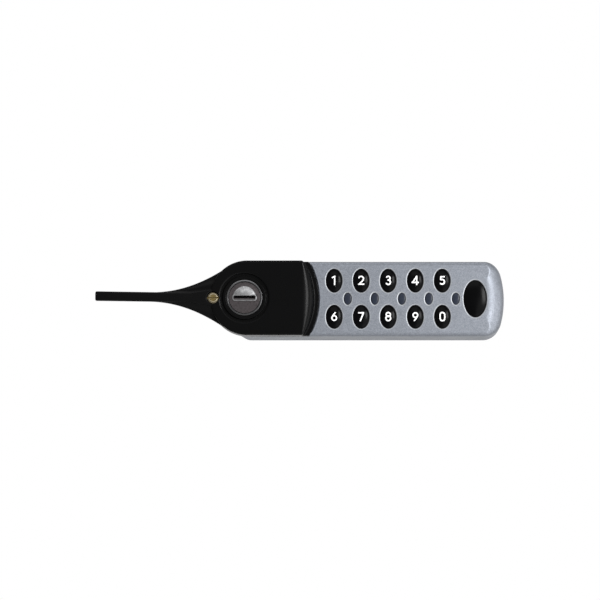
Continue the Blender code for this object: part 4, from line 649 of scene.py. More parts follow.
class Effect(Enum):
    """Node groups that finishes share: their name, inputs and outputs."""

    GRAIN = ("cast_grain", {"Scale": 2500.0, "Softness": 0.5}, ("Height",))
    FLAKES = ("metal_flakes", {"Scale": 4000.0, "Strength": 0.2}, ("Brightness", "Height"))
    WEAR = ("worn_edges", {"Radius": 0.3 * MM, "Scale": 400.0}, ("Mask",))
    LINES = ("fine_lines", {"Scale": 9000.0}, ("Turned", "Brushed"))
    SOIL = ("soft_soiling", {"Scale": 60.0}, ("Mask",))

    def group(self) -> bpy.types.NodeTree:
        """Find the shared group, or build it the first time that a finish asks for it.

        Returns:
            The group's node tree.
        """
        title, values, results = self.value
        if title in bpy.data.node_groups:
            return bpy.data.node_groups[title]
        tree = bpy.data.node_groups.new(title, "ShaderNodeTree")
        tree.interface.new_socket("Vector", in_out="INPUT", socket_type="NodeSocketVector")
        for name, value in values.items():
            socket = tree.interface.new_socket(name, in_out="INPUT", socket_type="NodeSocketFloat")
            socket.default_value = value
        for name in results:
            tree.interface.new_socket(name, in_out="OUTPUT", socket_type="NodeSocketFloat")
        wires = Wiring(tree)
        build = getattr(self, self.name.lower())
        wires.node("NodeGroupOutput", dict(zip(results, build(wires, wires.node("NodeGroupInput").outputs))))
        return tree

    def grain(self, wires: Wiring, entry: Sockets) -> list[Socket]:
        """Height of fine cast or sprayed grain."""
        return [wires.noise(entry["Vector"], entry["Scale"], Roughness=entry["Softness"], Detail=3.0)]

    def flakes(self, wires: Wiring, entry: Sockets) -> list[Socket]:
        """Brightness about 1 and height of small flakes that each catch the light their own way.

        Args:
            wires: The group's nodes.
            entry: The group's inputs.

        Returns:
            The group's results, in order.
        """
        cells = wires.node("ShaderNodeTexVoronoi", {"Vector": entry["Vector"], "Scale": entry["Scale"]})
        value = wires.node("ShaderNodeSeparateColor", {0: cells.outputs["Color"]}).outputs[0]
        off = wires.maths("SUBTRACT", value, 0.5)
        return [wires.maths("MULTIPLY_ADD", off, entry["Strength"], 1.0), value]

    def wear(self, wires: Wiring, entry: Sockets) -> list[Socket]:
        """Mask of edges that hands and tools have rubbed.

        Args:
            wires: The group's nodes.
            entry: The group's inputs.

        Returns:
            The group's results, in order.
        """
        bevel = wires.node("ShaderNodeBevel", {"Radius": entry["Radius"]}, samples=4).outputs[0]
        plain = wires.node("ShaderNodeNewGeometry").outputs["Normal"]
        facing = wires.node("ShaderNodeVectorMath", {0: bevel, 1: plain}, operation="DOT_PRODUCT")
        edge = wires.spread(facing.outputs["Value"], 1.0, 0.0, (0.86, 0.985))
        noise = wires.noise(entry["Vector"], entry["Scale"], Detail=4.0)
        return [wires.maths("MULTIPLY", edge, wires.spread(noise, 0.0, 1.0, (0.42, 0.62)))]

    def lines(self, wires: Wiring, entry: Sockets) -> list[Socket]:
        """Heights of lathe marks about the lock's axis and of lines along x.

        Args:
            wires: The group's nodes.
            entry: The group's inputs.

        Returns:
            The group's results, in order.
        """
        x, y, z = wires.node("ShaderNodeSeparateXYZ", {0: entry["Vector"]}).outputs
        radius = wires.maths("SQRT", wires.maths("MULTIPLY_ADD", x, x, wires.maths("MULTIPLY", z, z)))
        turned = {"W": radius, "Scale": entry["Scale"]}
        stretched = wires.node("ShaderNodeCombineXYZ", {0: wires.maths("MULTIPLY", x, 0.02), 1: y, 2: z})
        return [
            wires.node("ShaderNodeTexNoise", turned, noise_dimensions="1D").outputs[0],
            wires.noise(stretched.outputs[0], entry["Scale"]),
        ]

    def soil(self, wires: Wiring, entry: Sockets) -> list[Socket]:
        """Soft patches of handling and dust."""
        noise = wires.noise(entry["Vector"], entry["Scale"], Detail=5.0, Roughness=0.6)
        return [wires.spread(noise, 0.0, 1.0, (0.3, 0.7))]


class Marks(Enum):
    """Machining marks of a finish."""

    NONE = ""
    TURNED = "Turned"
    BRUSHED = "Brushed"


@dataclass(frozen=True)
class Finish:
    """A surface: its colour, gloss and the fine detail that breaks them up."""

    name: str
    colour: Colour
    roughness: float
    metallic: float = 0.0
    specular: float = 0.5
    coat: float = 0.0
    coat_roughness: float = 0.08
    shade: float = 0.88
    roughness_spread: float = 0.05
    soil_scale: float = 60.0
    grain_scale: float = 2500.0
    grain_depth: float = 0.0
    flake_scale: float = 4000.0
    flake_strength: float = 0.0
    flake_depth: float = 0.0
    marks: Marks = Marks.NONE
    marks_depth: float = 0.0
    wear_colour: Colour | None = None
    wear_radius: float = 0.3 * MM

    def material(self) -> bpy.types.Material:
        """Find or build this finish's material.

        Returns:
            A node material on Object coordinates.
        """
        if self.name in bpy.data.materials:
            return bpy.data.materials[self.name]
        made = bpy.data.materials.new(self.name)
        made.use_nodes = True
        made.diffuse_color = (*self.colour, 1.0)
        wires = Wiring(made.node_tree)
        coords = wires.node("ShaderNodeTexCoord").outputs["Object"]
        centred = {"Vector": coords, "Location": (-AXIS_X, 0.0, 0.0)}
        vector = wires.node("ShaderNodeMapping", centred).outputs[0]

        def effect(kind: Effect, **values: float) -> Sockets:
            """Place a shared group with this finish's values and return its outputs."""
            return wires.node("ShaderNodeGroup", {"Vector": vector, **values}, node_tree=kind.group()).outputs

        soil = effect(Effect.SOIL, Scale=self.soil_scale)[0]
        dark = tuple(value * self.shade for value in self.colour)
        colour = wires.blend(soil, (*dark, 1.0), (*self.colour, 1.0))
        bumps = []
        if self.flake_strength:
            flakes = effect(Effect.FLAKES, Scale=self.flake_scale, Strength=self.flake_strength)
            colour = wires.blend(1.0, colour, flakes[0], "MULTIPLY")
            bumps.append((flakes[1], self.flake_depth))
        if self.grain_depth:
            bumps.append((effect(Effect.GRAIN, Scale=self.grain_scale)[0], self.grain_depth))
        if self.marks is not Marks.NONE:
            bumps.append((effect(Effect.LINES)[self.marks.value], self.marks_depth))
        if self.wear_colour:
            worn = effect(Effect.WEAR, Radius=self.wear_radius)[0]
            colour = wires.blend(worn, colour, (*self.wear_colour, 1.0))
        normal = {}
        for height, depth in bumps:
            inputs = {"Height": height, "Distance": depth, "Strength": 1.0, **normal}
            normal = {"Normal": wires.node("ShaderNodeBump", inputs).outputs[0]}
        low, high = self.roughness - self.roughness_spread, self.roughness + self.roughness_spread
        surface = {
            "Base Color": colour,
            "Roughness": wires.spread(soil, high, low),
            "Metallic": self.metallic,
            "Specular IOR Level": self.specular,
            "Coat Weight": self.coat,
            "Coat Roughness": self.coat_roughness,
        }
        wires.fill(made.node_tree.nodes["Principled BSDF"], {**surface, **normal})
        return made


SILVER = Finish(
    "silver_metallic_paint", (0.13, 0.14, 0.159), 0.46, metallic=0.75, shade=0.95,
    flake_scale=2700.0, flake_strength=0.42, flake_depth=0.012 * MM, grain_depth=0.006 * MM,
    wear_colour=(0.36, 0.38, 0.41), wear_radius=0.35 * MM,
)
# Lighter metal on the rounded rims of the key and window holes: a bare-metal edge, made lighter still as a
# painted highlight of the light the rims catch.
BARE_RIM_AND_HIGHLIGHT = Finish(
    "bare_rim_and_painted_highlight", (0.24, 0.25, 0.265), 0.5, metallic=0.8, flake_strength=0.15, grain_depth=0.004 * MM
)
BLACK = Finish(
    "black_satin_paint", (0.0012, 0.0012, 0.0013), 0.27, specular=0.045, shade=0.85, roughness_spread=0.04,
    grain_scale=1800.0, grain_depth=0.006 * MM, wear_colour=(0.008, 0.008, 0.009),
)
STEEL = Finish(
    "zinc_plated_steel", (0.56, 0.57, 0.59), 0.34, metallic=1.0, marks=Marks.BRUSHED,
    marks_depth=0.003 * MM, grain_depth=0.003 * MM, wear_colour=(0.75, 0.75, 0.76),
)
TURNED_STEEL = Finish(
    "turned_steel", (0.55, 0.56, 0.58), 0.3, metallic=1.0, marks=Marks.TURNED,
    marks_depth=0.004 * MM, wear_colour=(0.75, 0.75, 0.76),
)
ZINC = Finish(
    "die_cast_zinc", (0.44, 0.44, 0.45), 0.5, metallic=1.0, grain_scale=1500.0,
    grain_depth=0.01 * MM, wear_colour=(0.62, 0.62, 0.63),
)
PLUG_FACE = Finish(
    "matt_cylinder_face", (0.062, 0.055, 0.057), 0.42, metallic=1.0, shade=0.45, soil_scale=900.0,
    roughness_spread=0.1, grain_scale=3200.0, grain_depth=0.01 * MM, marks=Marks.TURNED,
    marks_depth=0.004 * MM,
)
PLUG_RIM = Finish(
    "polished_cylinder_rim", (0.065, 0.065, 0.067), 0.2, metallic=1.0, shade=0.8, soil_scale=500.0,
    marks=Marks.TURNED, marks_depth=0.002 * MM,
)
# Painted highlight: lighter metal on the upper half moon and the raised slot frame, for the light from above
# that they catch.
PLUG_PAINTED_HIGHLIGHT = Finish(
    "half_moon_painted_highlight", (0.22, 0.22, 0.224), 0.3, metallic=1.0, shade=0.5, soil_scale=700.0,
    grain_scale=3000.0, grain_depth=0.006 * MM,
)
# Lighter wear on the screw's edges: rubbed metal, which also serves as a painted highlight along the head's
# rim.
BRASS = Finish(
    "yellow_brass", (0.16, 0.12, 0.045), 0.3, metallic=1.0, shade=0.7, soil_scale=700.0,
    grain_depth=0.004 * MM, wear_colour=(0.45, 0.39, 0.24), wear_radius=0.15 * MM,
)
# Painted highlight: lighter brass on the screw head's outer ring, for the light its rounded rim catches.
BRASS_PAINTED_HIGHLIGHT = Finish(
    "brass_rim_painted_highlight", (0.26, 0.225, 0.15), 0.3, metallic=1.0, shade=0.75, soil_scale=700.0,
    grain_depth=0.004 * MM,
)
KEY_GLOSS = Finish(
    "black_glossy_key", (0.0008, 0.0008, 0.001), 0.2, specular=0.033, shade=0.8, roughness_spread=0.03,
    grain_depth=0.002 * MM, grain_scale=900.0,
)
DIGIT_WHITE = Finish(
    "white_digit_inlay", (0.73, 0.73, 0.73), 0.45, specular=0.3, shade=0.95, grain_depth=0.002 * MM
)
LENS_TINT = Finish(
    "tinted_lens", (0.017, 0.021, 0.032), 0.24, specular=0.1, shade=0.75, soil_scale=400.0,
    grain_depth=0.002 * MM,
)
SILICONE = Finish("grey_silicone", (0.10, 0.10, 0.11), 0.7, shade=0.85, grain_depth=0.01 * MM)
BOARD = Finish("green_circuit_board", (0.02, 0.14, 0.06), 0.45, coat=0.3, shade=0.7, grain_depth=0.004 * MM)
NYLON = Finish("white_nylon", (0.78, 0.78, 0.74), 0.5, shade=0.93, grain_depth=0.006 * MM)
PLASTIC = Finish("black_moulded_plastic", (0.02, 0.02, 0.022), 0.5, shade=0.8, grain_depth=0.012 * MM)
CELL_WRAP = Finish(
    "printed_cell_wrap", (0.05, 0.10, 0.32), 0.32, metallic=0.2, shade=0.85, grain_depth=0.002 * MM
)
BOARD_SCREWS = Finish("small_screw_steel", (0.55, 0.55, 0.56), 0.3, metallic=1.0, grain_depth=0.003 * MM)
FLOOR = Finish("pale_floor", (0.86, 0.86, 0.86), 0.7, shade=0.98, soil_scale=3.0)


class Slot(Enum):
    """Names of the material slots for the pieces' main finishes."""

    SILVER = "silver_paint"
    BLACK = "black_paint"
    STEEL = "plated_steel"
    ZINC = "zinc_cast"
    CYLINDER = "cylinder_face"
    BRASS = "brass"
    KEY = "key_gloss"
    DIGIT = "digit_white"
    LENS = "lens_tint"


class Body(Enum):
    """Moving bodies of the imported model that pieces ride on."""

    FIXED = "body"
    TURNING = "turning"
    PLUG = "plug"


def hang(piece: Object, sharp: float) -> None:
    """Turn a finished piece upright into its place on the door and smooth it.

    Args:
        piece: A piece in the lock's own frame.
        sharp: Edges with a larger angle than this, in degrees, stay sharp.
    """
    piece.location = (AXIS_X, 0.0, 0.0)
    stand(piece)
    bpy.ops.object.shade_smooth_by_angle(angle=math.radians(sharp))
    apply(piece, piece.modifiers.new("Flats", "WEIGHTED_NORMAL"), keep_sharp=True)


def place(
    piece: Object, body: str, slot: Slot, nodes: Sequence[str], *finishes: Finish, sharp: float = SHARP_ANGLE
) -> Object:
    """Hang and dress a piece, and say what it rides on and stands for.

    Args:
        piece: The piece in the lock's own frame.
        body: The body that carries it.
        slot: Not used; names the slot of its main finish.
        nodes: The CAD nodes that it stands for, if any.
        finishes: Its finishes, by the material number of its faces.
        sharp: Edges with a larger angle than this, in degrees, stay sharp.

    Returns:
        The piece.
    """
    hang(piece, sharp)
    piece.data.materials.clear()
    for finish in finishes:
        piece.data.materials.append(finish.material())
    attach(piece, body)
    if nodes:
        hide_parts(*nodes)
    log.info("%s: %d faces on %s", piece.name, len(piece.data.polygons), body)
    return piece


def paint(piece: Object, chosen: Callable[[Vector], bool]) -> None:
    """Give the second finish to the faces of a dressed piece that a test picks.

    Args:
        piece: The dressed piece.
        chosen: A test on a face's middle in the lock's own frame.
    """
    for polygon in piece.data.polygons:
        middle = polygon.center
        if chosen(Vector((middle.x - AXIS_X, middle.z, -middle.y))):
            polygon.material_index = 1


# Plans with a rolled edge


@dataclass(frozen=True)
class Station:
    """A point of a plan with its outward normal and its share of the larger roll."""

    point: Vector
    normal: Vector
    share: float = 0.0

    def mirrored(self) -> "Station":
        """The same station on the other side of y = 0."""
        flip = Vector((1.0, -1.0))
        return Station(self.point * flip, self.normal * flip, self.share)


def swept(
    centre: Point,
    radius: float,
    turn: tuple[float, float],
    steps: int,
    share: Callable[[float], float] = lambda angle: 0.0,
) -> list[Station]:
    """Stations along an arc, both ends included.

    Args:
        centre: The arc's centre.
        radius: Its radius.
        turn: The angles of its first and last station.
        steps: How many steps it takes.
        share: The share of the larger roll at an angle.

    Returns:
        The stations.
    """
    made = []
    for angle in between(*turn, steps):
        normal = Vector((math.cos(angle), math.sin(angle)))
        made.append(Station(Vector(centre) + radius * normal, normal, share(angle)))
    return made


def both_sides(upper: Sequence[Station]) -> list[Station]:
    """Complete a plan that is symmetric about y = 0 from its upper half."""
    lower = [station.mirrored() for station in reversed(upper) if abs(station.point.y) > MERGE]
    return [*upper, *lower]


def inside(plan: Sequence[Station], inset: float, z: float) -> list[Place]:
    """Ring that follows a plan at a distance inside it."""
    return [(*(station.point - station.normal * inset), z) for station in plan]


def rolled(
    plan: Sequence[Station], inset: float, heights: Point, rolls: Point, steps: int, rise_share: float = 1.0
) -> list[list[Place]]:
    """Rings up a wall and over its rolled front edge.

    Args:
        plan: The wall's plan.
        inset: How far inside the plan the wall stands.
        heights: Of the wall's foot and of its top.
        rolls: The roll's radius where a station's share is 0 and where it is 1.
        steps: How many rings the roll takes.
        rise_share: The roll's height as a share of its width.

    Returns:
        The rings, from the foot to the inner edge of the roll.
    """
    bottom, top = heights
    rings = [inside(plan, inset, bottom)]
    for cosine, sine in bend(steps):
        ring = []
        for station in plan:
            roll = rolls[0] + (rolls[1] - rolls[0]) * station.share
            spot = station.point - station.normal * (inset + roll * (1 - cosine))
            ring.append((*spot, top - roll * rise_share * (1 - sine)))
        rings.append(ring)
    return rings


@dataclass
class SilverHousing:
    """Die-cast shell: keypad box, lower deck under the handle and holes for the keys."""

    half_width: float = HOUSING.half.y
    end_x: float = HOUSING.high.x
    end_bow: float = 48.0 * MM
    corner: float = 9.0 * MM
    side_roll: float = 2.4 * MM
    end_roll: float = 8.5 * MM
    taper_round: float = 6.0 * MM
    taper_angle: float = math.radians(31.0)
    taper_reach: float = 15.44 * MM
    nose_back: float = 12.0 * MM
    wall: float = 2.0 * MM
    step_radius: float = 37.9 * MM
    step_round: float = 0.45 * MM
    deck_wall: float = 2.3 * MM
    rim: float = 0.55 * MM
    rim_depth: float = 0.28 * MM
    boss_radius: float = 2.6 * MM
    post_radius: float = 2.0 * MM
    bow_steps: int = 12
    corner_steps: int = 28
    taper_steps: int = 8
    nose_steps: int = 16
    cavity_steps: int = 3
    mouth_steps: int = 5

    def plan(self) -> list[Station]:
        """Lay out the bowed end, round corners, straight sides and tapered nose.

        Returns:
            The plan, counter-clockwise from the middle of the end.
        """
        corner_y = self.half_width - self.corner
        bow_x = self.end_x - self.end_bow
        corner_x = bow_x + math.sqrt((self.end_bow - self.corner) ** 2 - corner_y**2)
        turn = math.atan2(corner_y, corner_x - bow_x)

        def fading(angle: float) -> float:
            """Share of the end's roll round the corner."""
            return 0.5 + 0.5 * math.cos(math.pi * (angle - turn) / (QUARTER - turn))

        upper = swept((bow_x, 0.0), self.end_bow, (0.0, turn), self.bow_steps, lambda angle: 1.0)
        corner = (corner_x, corner_y)
        upper += swept(corner, self.corner, (turn, QUARTER), self.corner_steps, fading)[1:]
        cosine, sine = math.cos(self.taper_angle), math.sin(self.taper_angle)
        taper_y = self.half_width - self.taper_round
        taper_x = (cosine * taper_y + self.taper_round - self.taper_reach) / sine
        leaning = QUARTER + self.taper_angle
        upper += swept((taper_x, taper_y), self.taper_round, (QUARTER, leaning), self.taper_steps)
        nose_radius = self.taper_reach - sine * self.nose_back
        upper += swept((-self.nose_back, 0.0), nose_radius, (leaning, math.pi), self.nose_steps)
        return both_sides(upper)

    def hollow(self) -> Object:
        """Make the cavity behind the face, with the deck, bosses and posts left standing.

        Returns:
            The cutter.
        """
        rolls = (self.side_roll - self.wall, self.end_roll - self.wall)
        heights = (-OVERRUN, FACE_Z - self.wall)
        made = loft("cavity", rolled(self.plan(), self.wall, heights, rolls, self.cavity_steps))
        foot = extent("keypad_board").high.z + SEAT_GAP
        stay = [(self.step_radius + self.wall, DECK_Z - self.deck_wall, Turns.HUB, ON_AXIS)]
        boss, post = (self.boss_radius, INNER_FLOOR_Z), (self.post_radius, foot)
        stay += [(*boss, Turns.BOSS, extent(node).spot) for node in PLATE_SCREW_NODES]
        stay += [(*post, Turns.BOSS, extent(node).spot) for node in BOARD_SCREW_NODES]
        for radius, low, turns, spot in stay:
            cut(made, spun("standing_block", [(radius, low), (radius, FACE_Z)], turns, spot))
        return made

    def rounding(self, width: float, depth: float) -> list[Point]:
        """Growth and height of a soft mouth in the face, from inside out."""
        quarter = bend(self.mouth_steps)
        return [(width * (1 - cosine), FACE_Z - depth * (1 - sine)) for cosine, sine in quarter]

    def rimmed_hole(self, centre: Point, half_x: float, half_y: float) -> Object:
        """Make the cutter of an oval hole with a soft rim in the face.

        Args:
            centre: The hole's middle.
            half_x: Half the hole's width.
            half_y: Half its height.

        Returns:
            The cutter.
        """
        steps = [(0.0, FACE_Z - 2 * self.wall), *self.rounding(self.rim, self.rim_depth)]
        steps.append((self.rim, FACE_Z + OVERRUN))
        return loft("rimmed_hole", [oval((half_x + g, half_y + g), z, Turns.HOLE, centre) for g, z in steps])

    def holes(self) -> list[tuple[Point, float, float]]:
        """Find the holes for the keys and windows.

        Returns:
            The middle and both half sizes of each hole.
        """
        found = []
        reach = KEY_CLEARANCE - Keypad.FLANGE
        for key in [extent(f"key_{digit}") for digit in range(10)] + [extent("function_key")]:
            found.append((key.spot, key.half.x + reach, key.half.y + reach))
        window = (Keypad.WINDOW_X + KEY_CLEARANCE, Keypad.WINDOW_Y + KEY_CLEARANCE)
        return found + [(extent(node).spot, *window) for node in LAMP_NODES]

    def on_rim(self, middle: Vector) -> bool:
        """Tell whether a face lies on the rim of a hole.

        Args:
            middle: The face's middle in the lock's own frame.

        Returns:
            Whether it does.
        """
        if not FACE_Z - self.rim_depth - MERGE <= middle.z <= FACE_Z - MERGE:
            return False
        reach = self.rim + Edge.CRISP
        return any(
            math.hypot((middle.x - x) / (half_x + reach), (middle.y - y) / (half_y + reach)) < 1.0
            for (x, y), half_x, half_y in self.holes()
        )

    def build(self) -> None:
        """Cast the shell, cut it and dress it."""
        rolls = (self.side_roll, self.end_roll)
        shell = loft("silver_housing", rolled(self.plan(), 0.0, (0.0, FACE_Z), rolls, ROLL_STEPS))
        lip = self.step_radius
        step = [(lip, DECK_Z), *((lip + g, z) for g, z in self.rounding(self.step_round, self.step_round))]
        step.append((lip + self.step_round, FACE_Z + OVERRUN))
        cut(shell, spun("step_cutter", step, Turns.STEP), self.hollow())
        cut(shell, gather([self.rimmed_hole(*hole) for hole in self.holes()]))
        washer = extent("thrust_washer")
        hub, outer = HUB_RADIUS + SEAT_GAP, washer.high.x + SEAT_GAP
        floor = washer.low.z - SEAT_GAP
        well = [(hub, extent("handle").low.z - OVERRUN), (hub, floor)]
        well += [(outer, floor), (outer, DECK_Z + OVERRUN)]
        cut(shell, spun("hub_well", well, Turns.HUB))
        place(shell, Body.FIXED.value, Slot.SILVER, ["housing"], SILVER, BARE_RIM_AND_HIGHLIGHT)
        # The hole rims get the lighter finish: bare metal with a painted highlight.
        paint(shell, self.on_rim)


@dataclass
class Keypad:
    """Ten digit keys with white inlaid digits, the large oval key and the tinted windows.

    STROKES has a row for each digit from 0 to 9, in millimetres about the middle of its key. A
    stroke starts at (x, y), or on a circle at (x, y, radius, degrees). What follows is a line
    to (x, y) or, with three numbers, a turn about (x, y) through so many degrees.
    """

    FLANGE = 0.9 * MM
    WINDOW_X = 1.88 * MM
    WINDOW_Y = 2.95 * MM
    STROKES = (
        [[(1.17, -0.9), (1.17, 0.9), (0.0, 0.9, 180.0), (-1.17, -0.9), (0.0, -0.9, 180.0)]],
        [[(0.25, -2.4), (0.25, 2.4)], [(0.25, 1.93), (-0.4, 1.72), (-1.1, 1.3)]],
        [[(-0.03, 0.85, 1.22, 168.0), (-0.03, 0.85, -205.0), (-1.2, -2.07)], [(-1.55, -1.91), (1.5, -1.91)]],
        [
            [(0.0, 1.115, 0.955, 160.0), (0.0, 1.115, -250.0), (-0.35, 0.16)],
            [(0.0, -0.955, 1.115, 90.0), (0.0, -0.955, -252.0)],
        ],
        [[(0.72, -2.4), (0.72, 2.4)], [(-1.85, -1.05), (1.75, -1.05)], [(0.62, 1.95), (-1.38, -1.05)]],
        [
            [(-0.83, 1.91), (1.3, 1.91)],
            [(-0.72, 2.1), (-0.9, 0.2)],
            [(-0.08, -0.72, 1.19, 128.0), (-0.08, -0.72, -278.0)],
        ],
        [[(0.0, -0.73, 1.18, 0.0), (0.0, -0.73, 360.0)], [(0.62, 2.2), (-0.35, 0.98), (-1.05, -0.2)]],
        [[(-1.55, 1.91), (1.5, 1.91)], [(1.12, 1.85), (-0.55, -2.4)]],
        [[(0.0, 1.0, 1.07, 0.0), (0.0, 1.0, 360.0)], [(0.0, -0.86, 1.21, 0.0), (0.0, -0.86, 360.0)]],
        [[(0.0, 0.73, 1.18, 0.0), (0.0, 0.73, 360.0)], [(-0.62, -2.2), (0.35, -0.98), (1.05, 0.2)]],
    )

    dome: float = 0.8 * MM
    dome_power: float = 2.4
    dome_steps: int = 15
    shoulder_steps: int = 4
    window_steps: int = 9
    proud: float = 0.3 * MM
    flange_thickness: float = 1.2 * MM
    edge_round: float = 0.35 * MM
    edge_lean: float = 0.82
    stroke: float = 0.66 * MM
    step_degrees: float = 9.0
    inlay: float = 0.03 * MM
    window_sink: float = 0.15 * MM
    window_crown: float = 0.35 * MM
    strip_half: float = 1.6 * MM
    strip_thickness: float = 1.4 * MM

    def key(self, name: str, node: str, raise_by: float = 0.0) -> Object:
        """Model an oval key with a shallow dome.

        Args:
            name: The key's name.
            node: The CAD node that it stands for.
            raise_by: How far its skin stands outside the real one, to trim an inlay with.

        Returns:
            The key in the lock's own frame.
        """
        box = extent(node)
        flange = (box.half.x, box.half.y)
        half_x, half_y = box.half.x - self.FLANGE, box.half.y - self.FLANGE
        flange_top = box.low.z + self.flange_thickness
        rings = [(flange, box.low.z), (flange, flange_top), ((half_x, half_y), flange_top)]
        edge_z = FACE_Z + self.proud
        for cosine, sine in bend(self.shoulder_steps, self.edge_lean):
            inset = self.edge_round * (1 - cosine)
            shoulder = edge_z - self.edge_round * (1 - sine)
            rings.append(((half_x - inset, half_y - inset), shoulder + raise_by))
        rise = edge_z + self.dome - shoulder
        for share in between(1.0, 0.0, self.dome_steps)[1:-1]:
            height = shoulder + rise * (1 - share**self.dome_power)
            rings.append((((half_x - inset) * share, (half_y - inset) * share), height + raise_by))
        return loft(name, [oval(half, z, Turns.HOLE, box.spot) for half, z in rings])

    def ribbon(self, name: str, stroke: Sequence[Corner]) -> Object:
        """Raise a stroke of a digit into a wall.

        Args:
            name: The new piece's name.
            stroke: One row of STROKES.

        Returns:
            A closed piece about the middle of its key.
        """
        (x, y, *circle), *rest = stroke
        if circle:
            radius, angle = circle[0], math.radians(circle[1])
            x, y = x + radius * math.cos(angle), y + radius * math.sin(angle)
        moves: list[Move] = []
        for spot_x, spot_y, *turn in rest:
            spot = (spot_x * MM, spot_y * MM)
            steps = max(CORNER_STEPS, round(abs(turn[0]) / self.step_degrees)) if turn else 0
            moves.append(Arc(spot, math.radians(turn[0]), steps) if turn else Line(*spot))
        piece = sketch(name, (x * MM, y * MM), moves)
        low = FACE_Z + self.proud
        edit(piece, lambda: shift_up(low), lambda: extrude_up(2 * self.dome))
        edit(piece, face_outwards)
        wall = {"thickness": self.stroke, "offset": 0.0, "use_even_offset": True}
        apply(piece, piece.modifiers.new("Stroke", "SOLIDIFY"), **wall)
        return edit(piece, merge_doubles, face_outwards)

    def digit(self, digit: int) -> Object:
        """Model a digit as an inlay that follows its key's dome.

        Args:
            digit: From 0 to 9.

        Returns:
            The inlay in the lock's own frame.
        """
        node = f"key_{digit}"
        names = [f"digit_{digit}_inlay", "second_stroke", "third_stroke"]
        made, *others = [self.ribbon(name, stroke) for name, stroke in zip(names, self.STROKES[digit])]
        add(made, *others)
        made.location = (*extent(node).spot, 0.0)
        return combine(settle(made), self.key("inlay_trim", node, self.inlay), "INTERSECT")

    def lens(self) -> Object:
        """Model the light guide: a bar with five oval windows.

        Returns:
            The guide in the lock's own frame.
        """
        box = extent("lens_strip")
        outline = rectangle((box.low.x, -self.strip_half), (box.high.x, self.strip_half), Edge.ROUND)
        bar = raised("window_strip", outline, box.low.z, box.low.z + self.strip_thickness)
        half = Vector((self.WINDOW_X, self.WINDOW_Y))
        low = FACE_Z - self.window_sink - self.window_crown
        rings = [(half, box.low.z + self.strip_thickness / 2)]
        quarter = bend(self.window_steps)[:-1]
        rings += [(half * cosine, low + self.window_crown * sine) for cosine, sine in quarter]
        windows = []
        for node in LAMP_NODES:
            spot = extent(node).spot
            windows.append(loft("window", [oval(size, z, Turns.WINDOW, spot) for size, z in rings]))
        return add(bar, gather(windows))

    def build(self) -> None:
        """Model and dress every key, digit and window."""
        for digit in range(10):
            body, node = f"digit_{digit}", f"key_{digit}"
            place(self.key(f"oval_key_{digit}", node), body, Slot.KEY, [node], KEY_GLOSS)
            place(self.digit(digit), body, Slot.DIGIT, [], DIGIT_WHITE)
        place(self.key("large_oval_key", "function_key"), "function", Slot.KEY, ["function_key"], KEY_GLOSS)
        place(self.lens(), Body.FIXED.value, Slot.LENS, ["lens_strip"], LENS_TINT)


